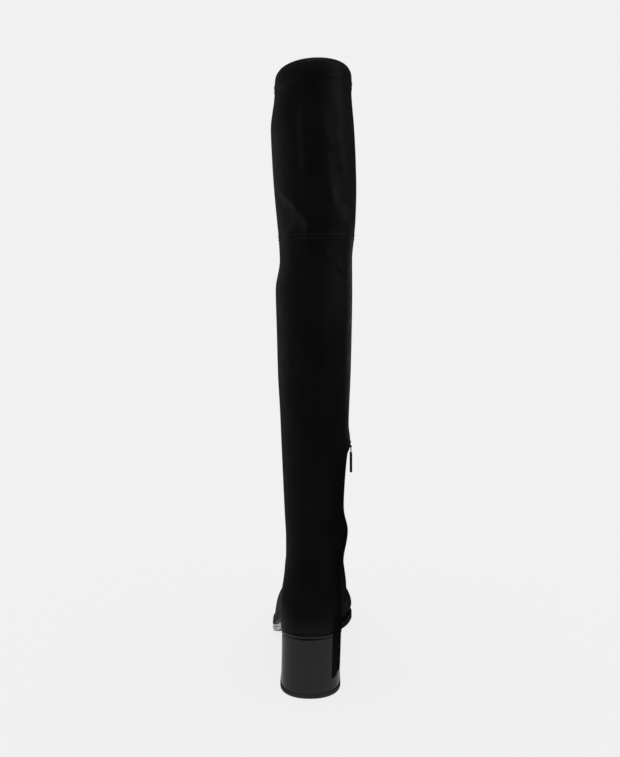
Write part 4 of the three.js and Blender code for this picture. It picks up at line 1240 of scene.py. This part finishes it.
def card(name, vertices, faces, strength):
    """Studio card that only reflections see."""
    obj = stage_piece(name, vertices, faces, glow_material("card", strength)[0])
    obj.visible_camera = False
    obj.visible_diffuse = False
    obj.visible_shadow = False


def strip(name, start, end, near, far, strength):
    """Card between two bearings in degrees, 0 behind the heel and 90 on the inner side, and between
    two edges, each a radius and a height."""
    steps = max(2, int(abs(end - start) / 4))
    vertices = []
    for k in range(steps + 1):
        a = math.radians(start + (end - start) * k / steps)
        for radius, height in (near, far):
            vertices.append((radius * math.sin(a), -radius * math.cos(a), height))
    card(name, vertices, [[2 * k, 2 * k + 2, 2 * k + 3, 2 * k + 1] for k in range(steps)], strength)


# Upright cards on a ring round the boot: bearings of both ends, heights of both edges, and glow
CARD_RADIUS = 1.5
for card_name, *card_facts in (
    ("card_behind", -25, 25, 0, 1.9, 0.025),
    ("card_behind_outer", -50, -25, 0, 1.9, 0.05),
    ("card_behind_high", -50, 25, 1.9, 3, 0.35),
    ("card_outer_near", -100, -50, 0, 3, 0.1),
    ("card_outer_far", -150, -100, 0, 0.9, 0.18),
    ("card_outer_high", -150, -100, 0.9, 3, 0.07),
    ("card_outer_front", -180, -150, 0, 3, 0.1),
    ("card_inner_low", 25, 150, 0, 0.45, 0.03),
    ("card_inner_1", 25, 45, 0.45, 1.5, 0.12),
    ("card_inner_2", 45, 62, 0.45, 1.5, 0.32),
    ("card_inner_3", 62, 115, 0.45, 1.5, 0.48),
    ("card_inner_far", 115, 155, 0.45, 1.5, 0.04),
    ("card_inner_high", 25, 155, 1.5, 3, 0.02),
    ("card_inner_front", 155, 180, 0, 3, 0.02),
):
    start, end, low, high, strength = card_facts
    strip(card_name, start, end, (CARD_RADIUS, low), (CARD_RADIUS, high), strength)

# Cards on the floor, out to that ring and close round the foot: bearings of both ends, and glow
NEAR_RADIUS = 0.26
MIDDLE_RADIUS = 0.01
FAR_LIFT = 0.001
NEAR_LIFT = 0.0005
for card_name, start, end, strength in (
    ("card_ground", -60, 180, 0.02),
    ("card_ground_outer", -150, -60, 0.12),
    ("card_ground_toe", -180, -150, 0.06),
):
    strip(card_name, start, end, (NEAR_RADIUS, FAR_LIFT), (CARD_RADIUS, FAR_LIFT), strength)
for card_name, start, end, strength in (
    ("card_near", -90, 56, 0.45),
    ("card_near_outer", -150, -90, 0.18),
    ("card_near_toe", -180, -150, 0.12),
    ("card_near_inner", 56, 180, 0.04),
):
    strip(card_name, start, end, (MIDDLE_RADIUS, NEAR_LIFT), (NEAR_RADIUS, NEAR_LIFT), strength)

# Single flat cards: a bright one on the floor at the ball, and black ones at the heel and beside the foot
PATCH_LIFT = 0.0012
SOLE_PATCH = [(-0.075, 0.022), (-0.047, 0.022), (-0.047, 0.050), (-0.075, 0.050)]
HEEL_PATCH = [(0.037, -0.05), (0.046, -0.068), (0.058, -0.0875), (0.075, -0.1), (0.12, -0.1), (0.12, 0), (0.037, 0)]
for card_name, patch, strength in (("card_sole", SOLE_PATCH, 1.3), ("card_heel_floor", HEEL_PATCH, 0.0)):
    card(card_name, [(x, y, PATCH_LIFT) for x, y in patch], [list(range(len(patch)))], strength)
for card_name, (back_x, back_y), (front_x, front_y), low, high in (
    ("card_heel", (0.044, -0.114), (0.060, -0.03), 0.004, 0.12),
    ("card_other", (0.105, -0.085), (0.105, 0.22), 0, 0.2),
):
    corners = [(back_x, back_y, low), (front_x, front_y, low), (front_x, front_y, high), (back_x, back_y, high)]
    card(card_name, corners, [[0, 1, 2, 3]], 0.0)

# Camera at the photograph's viewing angle, turned so that the boot is in the middle. The lens gives
# the photograph's focal length in pixels at its height in pixels; the place is in millimetres
IMAGE_HEIGHT = 757
FOCAL_PIXELS = 803
SENSOR = 36
CAMERA_PLACE = [14.2, -744.8, 426.0]
TOE_OUT = 3.0
CAMERA_PITCH = 8.0
CAMERA_TURN = 3.83

camera_data = bpy.data.cameras.new("camera")
camera = bpy.data.objects.new("camera", camera_data)
bpy.context.scene.collection.objects.link(camera)
camera_data.sensor_width = SENSOR
camera_data.lens = FOCAL_PIXELS * SENSOR / IMAGE_HEIGHT
camera_data.clip_start, camera_data.clip_end = 0.01, 200
camera.location = to_frame(CAMERA_PLACE).tolist()
yaw, pitch = math.radians(TOE_OUT), math.radians(CAMERA_PITCH)
look = Vector((math.sin(yaw) * math.cos(pitch), math.cos(yaw) * math.cos(pitch), -math.sin(pitch)))
aside = Vector((math.cos(yaw), -math.sin(yaw), 0.0))
above = aside.cross(look)
turned = Matrix.Rotation(math.radians(CAMERA_TURN), 3, above)
look, aside = turned @ look, turned @ aside
camera.rotation_euler = Matrix((aside, above, -look)).transposed().to_euler()
bpy.context.scene.camera = camera
bpy.context.scene.view_settings.view_transform = "Standard"
bpy.context.scene.view_settings.look = "None"
